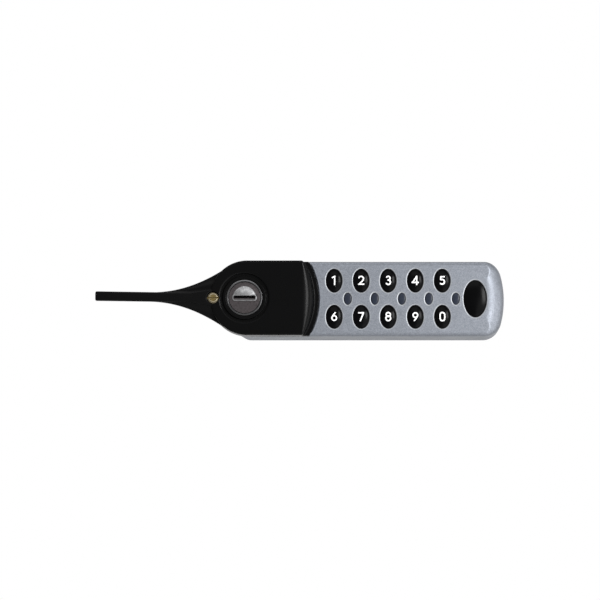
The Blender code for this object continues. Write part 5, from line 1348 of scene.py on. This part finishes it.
@dataclass
class LeverHandle:
    """Black die-cast head, skirt, hub and lever blade.

    MOAT_MOUTH gives points of the moat's outer lip, outwards and down, as shares of its
    width.
    """

    MOAT_MOUTH = ((0.0, 0.36), (0.12, 0.27), (0.75, 0.06), (1.0, 0.0))

    half_width: float = HOUSING.half.y - 0.05 * MM
    arc_radius: float = 35.0 * MM
    corner: float = 1.5 * MM
    shoulder_x: float = 1.4 * MM
    shoulder_y: float = 0.3 * MM
    edge_roll: float = 1.1 * MM
    end_roll: float = 6.0 * MM
    roll_rise_share: float = 0.68
    skirt_width: float = 2.5 * MM
    skirt_height: float = 2.8 * MM
    skirt_end: float = 0.1 * MM
    skirt_fillet: float = 0.9 * MM
    reach: float = 75.0 * MM
    blade: float = 4.8 * MM
    edge: float = 0.8 * MM
    tip_front: float = 17.4 * MM
    tip_back: float = 5.4 * MM
    ridge_meets_x: float = 17.2 * MM
    flare_start: float = 47.5 * MM
    flare_end: float = 12.5 * MM
    flare_join: float = 8.1 * MM
    flare_inset: float = 5.5 * MM
    root_x: float = 6.0 * MM
    back_start: float = 22.0 * MM
    spread: float = 3.6 * MM
    spread_start: float = 28.0 * MM
    rim_drop: float = 1.5 * MM
    rim_round: float = 0.3 * MM
    draft: float = 1.3 * MM
    back_round: float = 0.6 * MM
    bore: float = 9.3 * MM
    bore_below: float = 2.5 * MM
    collar: float = 1.7 * MM
    collar_sink: float = 0.5 * MM
    moat: float = 1.5 * MM
    moat_depth: float = 1.7 * MM
    moat_lip: float = 0.65 * MM
    lip_ease: float = 0.3
    pocket_shank: float = 1.8 * MM
    pocket_seat: float = 2.2 * MM
    socket: float = 3.8 * MM
    socket_depth: float = 3.5 * MM
    sharp: float = 28.0
    arc_steps: int = 36
    corner_steps: int = 8
    shoulder_steps: int = 40
    edge_steps: int = 4
    rim_steps: int = 3
    flank_steps: int = 12
    blade_steps: int = 6
    flare_steps: int = 56
    fillet_steps: int = 6

    def head_plan(self) -> list[Station]:
        """Lay out the arc towards the keypad, straight sides and round shoulders.

        Returns:
            The plan, counter-clockwise from the middle of the arc.
        """
        corner_y = self.half_width - self.corner
        corner_x = math.sqrt((self.arc_radius - self.corner) ** 2 - corner_y**2)
        turn = math.atan2(corner_y, corner_x)

        def fading(angle: float) -> float:
            """Share of the larger roll along the arc."""
            return 1.0 - (angle / turn) ** 2

        upper = swept(ON_AXIS, self.arc_radius, (0.0, turn), self.arc_steps, fading)
        upper += swept((corner_x, corner_y), self.corner, (turn, QUARTER), self.corner_steps)[1:]
        shoulder = (self.shoulder_x, self.shoulder_y)
        radius = self.half_width - self.shoulder_y
        upper += swept(shoulder, radius, (QUARTER, math.pi), self.shoulder_steps)
        return both_sides(upper)

    def section(self, x: float, inset: float = 0.0) -> list[Place]:
        """Ring across the lever: drafted sides, a rim, hollow flanks and a ridge.

        Args:
            x: Where the section stands.
            inset: How far inside the full section it is, for the rounded tip.

        Returns:
            The ring's points.
        """
        outwards = (-x - self.ridge_meets_x) / (self.reach - self.ridge_meets_x)
        front = HEAD_TOP_Z + (HEAD_Z + self.tip_front - HEAD_TOP_Z) * outwards - inset
        lift_share = max((-x - self.back_start) / (self.reach - self.back_start), 0.0)
        back = HEAD_Z + self.tip_back * lift_share + inset
        flared = min(x, -self.flare_join) + self.flare_start
        flare = max(flared / (self.flare_start - self.flare_end), 0.0)
        narrow = self.blade / 2
        width = narrow + (self.half_width - self.flare_inset - narrow) * flare**2 - inset
        foot = width - self.draft + inset
        spread = max((x + self.spread_start) / (self.spread_start - self.root_x), 0.0)
        ridge = narrow - inset + self.spread * spread
        high = front - self.edge
        rim_z = high - self.rim_round - self.rim_drop * flare
        edge, heel = bend(self.edge_steps), self.back_round
        side = [(foot - heel * (1 - s), back + heel * (1 - c)) for c, s in edge]
        rim = self.rim_round
        side += [(width - rim * (1 - c), rim_z - rim * (1 - s)) for c, s in bend(self.rim_steps)[:-1]]
        flank = width - rim
        for share in between(0.0, 1.0, self.flank_steps):
            side.append((flank + (ridge - flank) * share, rim_z + (high - rim_z) * share**2))
        side += [(ridge - self.edge * (1 - c), high + self.edge * s) for c, s in edge[1:]]
        return [(x, y, z) for y, z in side] + [(x, -y, z) for y, z in reversed(side)]

    def lever(self) -> Object:
        """Loft the lever from its rounded tip to the root inside the head.

        Returns:
            The lever.
        """
        tip = -self.reach
        edge = bend(self.edge_steps)
        rings = [self.section(tip + self.edge * (1 - c), self.edge * (1 - s)) for c, s in edge]
        places = between(tip + self.edge, -self.flare_start, self.blade_steps)[1:-1]
        places += between(-self.flare_start, -self.flare_join, self.flare_steps)
        rings += [self.section(x) for x in [*places, -self.root_x]]
        return loft("lever_blade", rings)

    def skirt(self) -> Object:
        """Spin the low step along the arc, with a fillet up to the head.

        Returns:
            The skirt, trimmed to the body's width.
        """
        outer, inner = self.arc_radius + self.skirt_width, self.arc_radius - self.corner
        top, fillet = HEAD_Z + self.skirt_height, self.skirt_fillet
        profile: list[Corner] = [(inner, HEAD_Z), (outer, HEAD_Z, Edge.THIN), (outer, top, Edge.SOFT)]
        quarter = bend(self.fillet_steps)
        profile += [(self.arc_radius + fillet * (1 - s), top + fillet * (1 - c)) for c, s in quarter]
        profile.append((inner, top + fillet))
        made = spun("skirt", profile, Turns.SKIRT, ring=True)
        half = HOUSING.half.y - self.skirt_end
        ends = raised("skirt_ends", rectangle((0.0, -half), (outer + OVERRUN, half)), 0.0, 2 * FACE_Z)
        return combine(made, ends, "INTERSECT")

    def mouth(self, radius: float, z: float, lip: float) -> list[Corner]:
        """Top of a hole's profile, with a soft lip at a height."""
        ease = lip * self.lip_ease
        return [(radius, z - lip), (radius + ease, z - ease), (radius + lip, z)]

    def front_cutter(self) -> Object:
        """Spin the bore, collar and moat round the key cylinder.

        Returns:
            The cutter.
        """
        collar_r = self.bore + self.collar
        moat_r = collar_r + self.moat
        moat_z, collar_z = HEAD_TOP_Z - self.moat_depth, HEAD_TOP_Z - self.collar_sink
        lip = Edge.FULL
        profile = [(self.bore, CYLINDER.low.z - self.bore_below), *self.mouth(self.bore, collar_z, lip)]
        profile += [(collar_r, collar_z, lip), (collar_r, moat_z, lip), (moat_r, moat_z, lip)]
        wide = self.moat_lip
        profile += [(moat_r + wide * out, HEAD_TOP_Z - wide * down) for out, down in self.MOAT_MOUTH]
        profile.append((moat_r + wide, HEAD_TOP_Z + OVERRUN))
        return spun("front_cutter", profile, Turns.BARREL)

    def pocket_cutter(self) -> Object:
        """Spin the pocket of the brass screw, with a soft lip.

        Returns:
            The cutter.
        """
        screw = extent("retaining_screw")
        head, shank = screw.half.x + SEAT_GAP, self.pocket_shank
        seat = screw.high.z - self.pocket_seat - SEAT_GAP
        profile = [(shank, screw.low.z - SEAT_GAP), (shank, seat), (head, seat)]
        profile += self.mouth(head, HEAD_TOP_Z, Edge.ROUND)
        profile.append((head + Edge.ROUND, HEAD_TOP_Z + OVERRUN))
        return spun("pocket_cutter", profile, Turns.POCKET, screw.spot)

    def build(self) -> None:
        """Cast the handle in one piece and dress it."""
        rolls = (self.edge_roll, self.end_roll)
        head = rolled(self.head_plan(), 0.0, (HEAD_Z, HEAD_TOP_Z), rolls, ROLL_STEPS, self.roll_rise_share)
        made = loft("black_handle", head)
        low = extent("handle").low.z
        hub = [(HUB_RADIUS, low, Edge.ROUND), (HUB_RADIUS, HEAD_Z + OVERRUN)]
        add(made, self.lever(), self.skirt(), spun("hub", hub, Turns.HUB))
        cut(made, self.front_cutter(), self.pocket_cutter())
        drive = rectangle((-self.socket, -self.socket), (self.socket, self.socket))
        cut(made, raised("drive_socket", drive, low - OVERRUN, low + self.socket_depth))
        place(made, Body.TURNING.value, Slot.BLACK, ["handle"], BLACK, sharp=self.sharp)


@dataclass
class KeyCylinder:
    """Barrel with its bright rim, the turning plug and the brass screw."""

    radius: float = CYLINDER.half.x
    rim: float = 0.8 * MM
    rim_slope: float = 0.5 * MM
    rim_drop: float = 0.13 * MM
    face_sink: float = 0.5 * MM
    face_thickness: float = 1.6 * MM
    core: float = 5.5 * MM
    gap: float = 0.25 * MM
    dome_radius: float = 5.8 * MM
    dome_height: float = 0.87 * MM
    slot_length: float = 11.2 * MM
    slot_width: float = 2.1 * MM
    slot_depth: float = 0.7 * MM
    slot_round_share: float = 0.72
    slot_frame: float = 0.6 * MM
    frame_height: float = 0.5 * MM
    headroom: float = 2.0 * MM
    paint_margin: float = 0.02 * MM
    crown_steps: int = 14
    end_steps: int = 8
    keyway: float = 10.6 * MM
    keyway_low: float = -0.15 * MM
    keyway_high: float = 0.95 * MM
    keyway_floor: float = 2.5 * MM
    screw_head: float = 2.5 * MM
    screw_shank: float = 1.5 * MM
    screw_seat: float = 2.2 * MM
    screw_collar: float = 0.9 * MM
    screw_dish: float = 1.55 * MM
    dish_depth: float = 0.25 * MM
    screw_slot: float = 0.75 * MM
    screw_slot_depth: float = 1.6 * MM

    @property
    def face_z(self) -> float:
        """Height of the plug's face."""
        return CYLINDER.high.z - self.face_sink

    def barrel(self) -> Object:
        """Spin the barrel with its sloping rim.

        Returns:
            The barrel in the lock's own frame.
        """
        top, low = CYLINDER.high.z, CYLINDER.low.z
        mouth, bore = self.radius - self.rim, self.core + self.gap
        ledge = self.face_z - self.face_thickness - SEAT_GAP
        profile = [(self.radius, low), (self.radius, top - self.rim_drop)]
        profile += [(self.radius - self.rim_slope, top), (mouth, top, Edge.FINE)]
        profile += [(mouth, ledge), (bore, ledge), (bore, low)]
        return spun("cylinder_barrel", profile, Turns.BARREL, ring=True)

    def stadium(self, name: str, grow: float, low: float, high: float) -> Object:
        """Raise the slot's outline with round ends.

        Args:
            name: The new piece's name.
            grow: How far outside the slot it runs.
            low: Height of the underside.
            high: Height of the top.

        Returns:
            A closed piece.
        """
        x, y = self.slot_length / 2 + grow, self.slot_width / 2 + grow
        outline = rectangle((-x, -y), (x, y), y * self.slot_round_share)
        return raised(name, outline, low, high, self.end_steps)

    def plug(self) -> Object:
        """Model the turning core: face disc, half moon, raised frame, slot and keyway.

        Returns:
            The plug in the lock's own frame.
        """
        top, low = self.face_z, CYLINDER.low.z
        under, above = top - self.face_thickness, top + self.headroom
        face = self.radius - self.rim - self.gap
        profile = [(self.core, low), (self.core, under), (face, under), (face, top, Edge.THIN)]
        made = spun("plug_face", profile, Turns.BARREL)
        crown = [(self.dome_radius, under + SEAT_GAP)]
        for share in between(1.0, 0.0, self.crown_steps):
            crown.append((self.dome_radius * share, top + self.dome_height * (1 - share**2)))
        moon = spun("half_moon", crown, Turns.BARREL)
        reach = self.dome_radius + OVERRUN
        combine(moon, raised("upper_half", rectangle((-reach, 0.0), (reach, reach)), low, above), "INTERSECT")
        ring = self.stadium("slot_frame", self.slot_frame, under + SEAT_GAP, top + self.frame_height)
        add(made, moon, soften(ring, Edge.SOFT))
        half = self.keyway / 2
        deep = rectangle((-half, self.keyway_low), (half, self.keyway_high))
        keyway = raised("keyway", deep, low + self.keyway_floor, top)
        return cut(made, self.stadium("slot_mouth", 0.0, top - self.slot_depth, above), keyway)

    def brass_screw(self) -> Object:
        """Spin the slotted brass screw.

        Returns:
            The screw in the lock's own frame.
        """
        box = extent("retaining_screw")
        rim, top, shank = box.half.x, box.high.z, self.screw_shank
        seat, collar, dish = top - self.screw_seat, top - self.screw_collar, top - self.dish_depth
        profile = [(shank, box.low.z, Edge.ROUND), (shank, seat), (rim, seat, Edge.FINE)]
        profile += [(rim, collar, Edge.ROUND), (self.screw_head, collar), (self.screw_head, top, Edge.BROAD)]
        profile += [(self.screw_dish + self.dish_depth, top), (self.screw_dish, dish)]
        made = spun("brass_slotted_screw", profile, Turns.HOLE, box.spot)
        x, reach, half = box.middle.x, rim + OVERRUN, self.screw_slot / 2
        slot = rectangle((x - reach, -half), (x + reach, half))
        return cut(made, raised("driver_slot", slot, top - self.screw_slot_depth, top + OVERRUN))

    def build(self) -> None:
        """Model and dress the cylinder's pieces."""
        place(self.barrel(), Body.TURNING.value, Slot.CYLINDER, ["cylinder_body"], PLUG_RIM)
        plug = place(self.plug(), Body.PLUG.value, Slot.CYLINDER, ["key_plug"], PLUG_FACE, PLUG_PAINTED_HIGHLIGHT)
        # Faces standing above the plug's face, the half moon and the slot frame, get the painted highlight.
        proud = self.face_z + self.paint_margin
        paint(plug, lambda middle: middle.z > proud)
        screw = self.brass_screw()
        place(screw, Body.TURNING.value, Slot.BRASS, ["retaining_screw"], BRASS, BRASS_PAINTED_HIGHLIGHT)
        # The head's outer ring, outside the dish, gets the painted highlight.
        axis = extent("retaining_screw").middle
        paint(screw, lambda middle: (middle - axis).xy.length > self.screw_dish)


def headed_screw(name: str, box: Extent, shank: float, height: float, rounds: Place, turns: Turns) -> Object:
    """Spin a screw on the handle's axis, with its head towards the door.

    Args:
        name: The new piece's name.
        box: The CAD node's box, for the head's radius and both ends.
        shank: The shank's radius.
        height: The head's height.
        rounds: The edge radii of the head's face, its underside and the tip.
        turns: How many steps the full turn takes.

    Returns:
        The screw without its drive.
    """
    head, neck = box.half.x, box.low.z + height
    face, under, tip = rounds
    profile = [(head, box.low.z, face), (head, neck, under), (shank, neck), (shank, box.high.z, tip)]
    return spun(name, profile, turns)


@dataclass
class PlateScrews:
    """Four slotted screws, modelled once and copied."""

    shank: float = 1.0 * MM
    head_height: float = 1.1 * MM
    slot_half: float = 0.3 * MM
    slot_depth: float = 0.5 * MM

    def build(self) -> None:
        """Model one screw and copy it into each hole."""
        box = extent(PLATE_SCREW_NODES[0])
        rounds = (Edge.BROAD, Edge.CRISP, Edge.ROUND)
        pattern = headed_screw("plate_screw_pattern", box, self.shank, self.head_height, rounds, Turns.SCREW)
        reach = box.half.x + OVERRUN
        slot = rectangle((-reach, -self.slot_half), (reach, self.slot_half))
        cut(pattern, raised("slot", slot, box.low.z - OVERRUN, box.low.z + self.slot_depth))
        for node in PLATE_SCREW_NODES:
            hold(pattern)
            bpy.ops.object.duplicate(linked=False)
            screw = named(node.replace("plate_screw", "cover_screw"))
            screw.location = (*extent(node).spot, 0.0)
            place(settle(screw), Body.FIXED.value, Slot.STEEL, [node], BOARD_SCREWS)
        bpy.data.meshes.remove(pattern.data)


@dataclass
class DoorFixings:
    """Back plate, threaded sleeve with its nut, and the anchor stud."""

    sleeve_radius: float = 9.0 * MM
    sleeve_bore: float = 5.25 * MM
    sleeve_point: float = 0.7 * MM
    sleeve_thread: Point = (1.0 * MM, 0.55 * MM)
    stud_radius: float = 3.0 * MM
    stud_bore: float = 2.0 * MM
    stud_bore_depth: float = 12.0 * MM
    stud_flange: float = 1.5 * MM
    stud_thread: Point = (0.8 * MM, 0.42 * MM)
    thread_end: float = -1.0 * MM
    crest_share: float = 0.12
    nut_slope: float = 0.8 * MM
    nut_bore: float = 9.2 * MM
    sink_depth: float = 1.4 * MM
    sink_bore: float = 1.3 * MM

    def rod(self, radius: float, thread: Point, low: float, centre: Point) -> Object:
        """Make a rod with a real screw thread, longer than it need be.

        Args:
            radius: Over the thread's crests.
            thread: Pitch from crest to crest, and depth from crest to root.
            low: Where the finished thread starts.
            centre: Where the rod's axis stands.

        Returns:
            A closed rod, to cut a thread's grooves with.
        """
        pitch, depth = thread
        crest = self.crest_share * pitch
        corners = []
        height = low - 2 * pitch
        while height < self.thread_end + pitch:
            top = height + pitch / 2
            corners += [(radius - depth, height), (radius, top - crest), (radius, top + crest)]
            height += pitch
        corners.append((radius - depth, height))
        piece = stand(sketch("thread_rod", *rounded_path(corners, False, CORNER_STEPS)))
        steps = int(Turns.HOLE)
        turn = {"axis": "Z", "angle": FULL, "screw_offset": pitch, "steps": steps, "render_steps": steps}
        screw = piece.modifiers.new("Thread", "SCREW")
        apply(piece, screw, use_merge_vertices=True, merge_threshold=MERGE, **turn)
        edit(piece, merge_doubles, lambda: bpy.ops.mesh.fill_holes(sides=0))
        edit(piece, merge_doubles, face_outwards)
        piece.location = (*centre, 0.0)
        return settle(piece)

    def thread(
        self, made: Object, radius: float, thread: Point, low: float, turns: Turns, centre: Point
    ) -> Object:
        """Cut a thread into a rod's outside, from its tip to near the flange.

        Args:
            made: The rod.
            radius: The rod's radius.
            thread: Pitch from crest to crest, and depth from crest to root.
            low: Height of the rod's tip.
            turns: How many steps the full turn takes.
            centre: Where the rod's axis stands.

        Returns:
            The threaded rod.
        """
        root, high = radius - thread[1], self.thread_end
        groove = [(root, low - OVERRUN), (radius + OVERRUN, low - OVERRUN)]
        groove += [(radius + OVERRUN, high), (root, high - thread[1])]
        band = spun("thread_band", groove, turns, centre, ring=True)
        return cut(made, cut(band, self.rod(radius, thread, low, centre)))

    def plate(self) -> Object:
        """Model the flat cover with holes for the sleeve, the stud and the screws.

        Returns:
            The plate in the lock's own frame.
        """
        shell = SilverHousing()
        inset, high = shell.wall + SEAT_GAP, extent("back_plate").high.z
        rows = ((inset + Edge.SOFT, 0.0), (inset, Edge.SOFT), (inset, high))
        made = loft("steel_back_plate", [inside(shell.plan(), *row) for row in rows])

        def pierce(radius: float, chamfer: float, spot: Point, turns: Turns, above: list[Corner]) -> None:
            """Cut a hole with a chamfer at the back and the given profile above it."""
            mouth = [(radius + chamfer, -OVERRUN), (radius + chamfer, 0.0), (radius, chamfer)]
            cut(made, spun("plate_hole", mouth + above, turns, spot))

        stud = extent("anchor_stud").spot
        for radius, spot in ((self.sleeve_radius, ON_AXIS), (self.stud_radius, stud)):
            hole = radius + SEAT_GAP
            pierce(hole, Edge.THIN, spot, Turns.HOLE, [(hole, high + OVERRUN)])
        for screw in map(extent, PLATE_SCREW_NODES):
            head, floor = screw.half.x + SEAT_GAP, screw.low.z + self.sink_depth
            above = [(head, floor), (self.sink_bore, floor), (self.sink_bore, high + OVERRUN)]
            pierce(head, Edge.FINE, screw.spot, Turns.SCREW, above)
        return made

    def sleeve(self) -> Object:
        """Model the threaded sleeve through the door, with its flange.

        Returns:
            The sleeve in the lock's own frame.
        """
        box = extent("mounting_sleeve")
        radius, bore, rim = self.sleeve_radius, self.sleeve_bore, box.half.x
        flange = box.high.z - SLEEVE_FLANGE
        shape = [(bore, box.low.z, Edge.ROUND), (radius, box.low.z, self.sleeve_point), (radius, flange)]
        shape += [(rim, flange, Edge.THIN), (rim, box.high.z, Edge.ROUND), (bore, box.high.z)]
        made = spun("threaded_sleeve", shape, Turns.BARREL, ring=True)
        return self.thread(made, radius, self.sleeve_thread, box.low.z, Turns.BARREL, ON_AXIS)

    def nut(self) -> Object:
        """Model the hexagon nut with turned-off corners and a bore.

        Returns:
            The nut in the lock's own frame.
        """
        box = extent("mounting_nut")
        low, high = box.low.z, box.high.z
        flat = min(box.half.x, box.half.y)
        corner = flat / HALF_FLAT
        made = hexagon("hexagon_nut", corner, low, high)
        made.rotation_euler = (0.0, 0.0, 0.0 if box.half.y < box.half.x else QUARTER)
        settle(made)
        outer = corner + Edge.CRISP
        blank = [(flat, low), (outer, low + self.nut_slope), (outer, high - self.nut_slope), (flat, high)]
        combine(made, spun("nut_blank", blank, Turns.BARREL), "INTERSECT")
        bore, wide = self.nut_bore, self.nut_bore + Edge.BROAD
        hole = [(wide, low - OVERRUN), (wide, low), (bore, low + Edge.BROAD)]
        hole += [(bore, high - Edge.BROAD), (wide, high), (wide, high + OVERRUN)]
        return cut(made, spun("nut_bore", hole, Turns.BARREL))

    def stud(self) -> Object:
        """Model the threaded stud of the keypad end.

        Returns:
            The stud in the lock's own frame.
        """
        box = extent("anchor_stud")
        low, high, rim = box.low.z, box.high.z, box.half.x
        radius, bore, flange = self.stud_radius, self.stud_bore, high - self.stud_flange
        shape = [(bore, low + self.stud_bore_depth), (bore, low + Edge.ROUND), (bore + Edge.ROUND, low)]
        shape += [(radius, low, Edge.WIDE), (radius, flange)]
        shape += [(rim, flange, Edge.THIN), (rim, high, Edge.THIN)]
        made = spun("threaded_stud", shape, Turns.HOLE, box.spot)
        return self.thread(made, radius, self.stud_thread, low, Turns.HOLE, box.spot)

    def build(self) -> None:
        """Model and dress the fixings."""
        place(self.plate(), Body.FIXED.value, Slot.STEEL, ["back_plate"], STEEL)
        place(self.sleeve(), Body.FIXED.value, Slot.ZINC, ["mounting_sleeve"], ZINC)
        place(self.nut(), Body.FIXED.value, Slot.STEEL, ["mounting_nut"], STEEL)
        place(self.stud(), Body.FIXED.value, Slot.ZINC, ["anchor_stud"], ZINC)


@dataclass
class LatchCam:
    """Latch arm behind the door, its washer and its socket screw."""

    eye: float = 9.0 * MM
    arm: float = 14.0 * MM
    tip: float = 3.0 * MM
    socket: float = 3.8 * MM
    washer_bore: float = 2.3 * MM
    shank: float = 2.0 * MM
    head_height: float = 2.2 * MM
    drive: float = 2.5 * MM
    drive_depth: float = 1.2 * MM
    eye_steps: int = 80
    tip_steps: int = 8

    def cam(self) -> Object:
        """Model the stamped arm with its square hole.

        Returns:
            The arm in the lock's own frame.
        """
        box = extent("cam")
        half = self.arm / 2
        meet = math.asin(half / self.eye)
        start = (self.eye * math.cos(meet), self.eye * math.sin(meet))
        end, inner, top = box.high.x, box.high.x - self.tip, half - self.tip
        moves: list[Move] = [Arc(ON_AXIS, FULL - 2 * meet, self.eye_steps), Line(inner, -half)]
        moves += [Arc((inner, -top), QUARTER, self.tip_steps), Line(end, top)]
        moves += [Arc((inner, top), QUARTER, self.tip_steps), Line(*start)]
        made = soften(lift(sketch("latch_cam_arm", start, moves), box.low.z, box.high.z), Edge.ROUND)
        hole = rectangle((-self.socket, -self.socket), (self.socket, self.socket), Edge.WIDE)
        return cut(made, raised("square_hole", hole, box.low.z - OVERRUN, box.high.z + OVERRUN))

    def washer(self) -> Object:
        """Spin the plain washer with rounded edges.

        Returns:
            The washer in the lock's own frame.
        """
        box, bore = extent("cam_washer"), self.washer_bore
        shape = [(bore, box.low.z, Edge.CRISP), (box.half.x, box.low.z, Edge.SOFT)]
        shape += [(box.half.x, box.high.z, Edge.SOFT), (bore, box.high.z, Edge.CRISP)]
        return spun("round_washer", shape, Turns.HOLE, ring=True)

    def screw(self) -> Object:
        """Model the socket screw that holds the cam.

        Returns:
            The screw in the lock's own frame.
        """
        box = extent("cam_screw")
        rounds = (Edge.FULL, Edge.FINE, Edge.WIDE)
        made = headed_screw("cam_socket_screw", box, self.shank, self.head_height, rounds, Turns.HOLE)
        low, high = box.low.z - self.drive_depth, box.low.z + self.drive_depth
        return cut(made, settle(hexagon("hexagon_socket", self.drive / 2 / HALF_FLAT, low, high)))

    def build(self) -> None:
        """Model and dress the cam's pieces."""
        place(self.cam(), Body.TURNING.value, Slot.STEEL, ["cam"], STEEL)
        place(self.washer(), Body.TURNING.value, Slot.STEEL, ["cam_washer"], TURNED_STEEL)
        place(self.screw(), Body.TURNING.value, Slot.STEEL, ["cam_screw"], TURNED_STEEL)


class InnerWorks:
    """CAD nodes inside the lock that keep their shape and get a better surface."""

    FINISHES = (
        (NYLON, ["thrust_washer", *LAMP_NODES]),
        (PLASTIC, ["latch_carrier", "buzzer", "battery_tray"]),
        (BOARD_SCREWS, ["latch_motor", "contact_bridge", "contact_upper", "contact_lower"]),
        (BOARD_SCREWS, [*BOARD_SCREW_NODES, "carrier_screw_1", "carrier_screw_2"]),
        (BOARD, ["keypad_board"]),
        (SILICONE, ["keypad_mat"]),
        (CELL_WRAP, ["cell_upper", "cell_lower"]),
        (TURNED_STEEL, ["handle_screw", "spindle", "spindle_clip"]),
        (STEEL, ["lock_disc"]),
        (ZINC, ["latch_bolt"]),
        (BRASS, ["motor_pinion"]),
    )

    def build(self) -> None:
        """Put a finish on each node that is still shown."""
        for finish, nodes in self.FINISHES:
            for node in nodes:
                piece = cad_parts[node]
                piece.data.materials.clear()
                piece.data.materials.append(finish.material())
                log.info("%s: CAD shape in %s", node, finish.name)


# Studio


def aimed(name: str, data: bpy.types.ID, target: Vector, angles: Point, distance: float) -> Object:
    """Hang a lamp or a camera and turn it to what it points at.

    Args:
        name: Its name.
        data: The lamp or the camera.
        target: What it points at.
        angles: Azimuth and elevation that it is seen at from there, in degrees.
        distance: How far away it hangs.

    Returns:
        Its object.
    """
    piece = bpy.data.objects.new(name, data)
    bpy.context.scene.collection.objects.link(piece)
    azimuth, elevation = map(math.radians, angles)
    level = distance * math.cos(elevation)
    away = (level * math.sin(azimuth), -level * math.cos(azimuth), distance * math.sin(elevation))
    piece.location = target + Vector(away)
    piece.rotation_euler = (target - piece.location).to_track_quat("-Z", "Y").to_euler()
    return piece


@dataclass
class Lamp:
    """A soft rectangular lamp that shines at the lock from one direction."""

    name: str
    angles: Point
    distance: float
    size: Point
    radiance: float

    def build(self, target: Vector) -> None:
        """Hang the lamp and aim it.

        Args:
            target: What it shines at.
        """
        data = bpy.data.lights.new(self.name, "AREA")
        data.shape = "RECTANGLE"
        data.size, data.size_y = self.size
        data.energy = self.radiance * math.pi * self.size[0] * self.size[1]
        aimed(self.name, data, target, self.angles, self.distance)


@dataclass
class Studio:
    """Camera, soft lamps, a white surround and a pale floor."""

    LAMPS = (
        Lamp("right_panel", (37.0, -18.0), 0.5, (0.38, 0.45), 2.7),
        Lamp("right_accent", (38.0, 10.0), 0.9, (0.22, 0.26), 39.0),
        Lamp("right_edge", (82.0, -4.0), 0.6, (0.4, 0.4), 3.6),
        Lamp("top_softbox", (0.0, 30.0), 0.9, (0.7, 0.24), 2.6),
        Lamp("top_panel", (0.0, 84.0), 0.8, (0.8, 0.5), 2.2),
    )
    WHITE = (1.0, 1.0, 1.0, 1.0)

    aim_x: float = AXIS_X + 28.1 * MM
    aim_z: float = -0.95 * MM
    distance: float = 2.0
    angles: Point = (0.0, -5.8)
    view_width: float = 303.6 * MM
    sensor: float = 36.0
    world_light: float = 0.35
    floor_z: float = -0.30
    floor_size: float = 14.0
    floor_lift: float = 0.5

    def camera(self, aim: Vector) -> None:
        """Place the camera at the photograph's viewing angle.

        Args:
            aim: What it looks at.
        """
        data = bpy.data.cameras.new("lock_camera")
        data.sensor_width = self.sensor
        data.lens = self.sensor * self.distance / self.view_width
        bpy.context.scene.camera = aimed("lock_camera", data, aim, self.angles, self.distance)

    def surround(self) -> None:
        """Make a world that is white to the camera, reflections and glass, and softer as a light."""
        world = bpy.data.worlds.new("studio")
        bpy.context.scene.world = world
        world.use_nodes = True
        wires = Wiring(world.node_tree)
        seen = wires.seen("Is Camera Ray", "Is Transmission Ray", "Is Glossy Ray")
        level = wires.spread(seen, self.world_light, 1.0)
        wires.fill(world.node_tree.nodes["Background"], {"Color": self.WHITE, "Strength": level})

    def floor(self) -> None:
        """Lay a plain pale floor well below the lock."""
        clear()
        bpy.ops.mesh.primitive_plane_add(size=self.floor_size, location=(0.0, 0.0, self.floor_z))
        floor = settle(named("floor"))
        finish = FLOOR.material()
        wires = Wiring(finish.node_tree)
        lift_light = wires.spread(wires.seen("Is Camera Ray", "Is Glossy Ray"), 0.0, self.floor_lift)
        shader = finish.node_tree.nodes["Principled BSDF"]
        wires.fill(shader, {"Emission Color": self.WHITE, "Emission Strength": lift_light})
        floor.data.materials.append(finish)

    def build(self) -> None:
        """Set up the studio."""
        aim = Vector((self.aim_x, -(FACE_Z + HEAD_TOP_Z) / 2, self.aim_z))
        self.camera(aim)
        self.surround()
        self.floor()
        for lamp in self.LAMPS:
            lamp.build(aim)
        bpy.context.scene.view_settings.view_transform = "Standard"


def main() -> None:
    """Build every sub-assembly round the frame and set up the studio."""
    logging.basicConfig(level=logging.INFO, format="%(name)s: %(message)s")
    Studio().build()
    SilverHousing().build()
    Keypad().build()
    LeverHandle().build()
    KeyCylinder().build()
    PlateScrews().build()
    DoorFixings().build()
    LatchCam().build()
    InnerWorks().build()


if __name__ == "__main__":
    main()
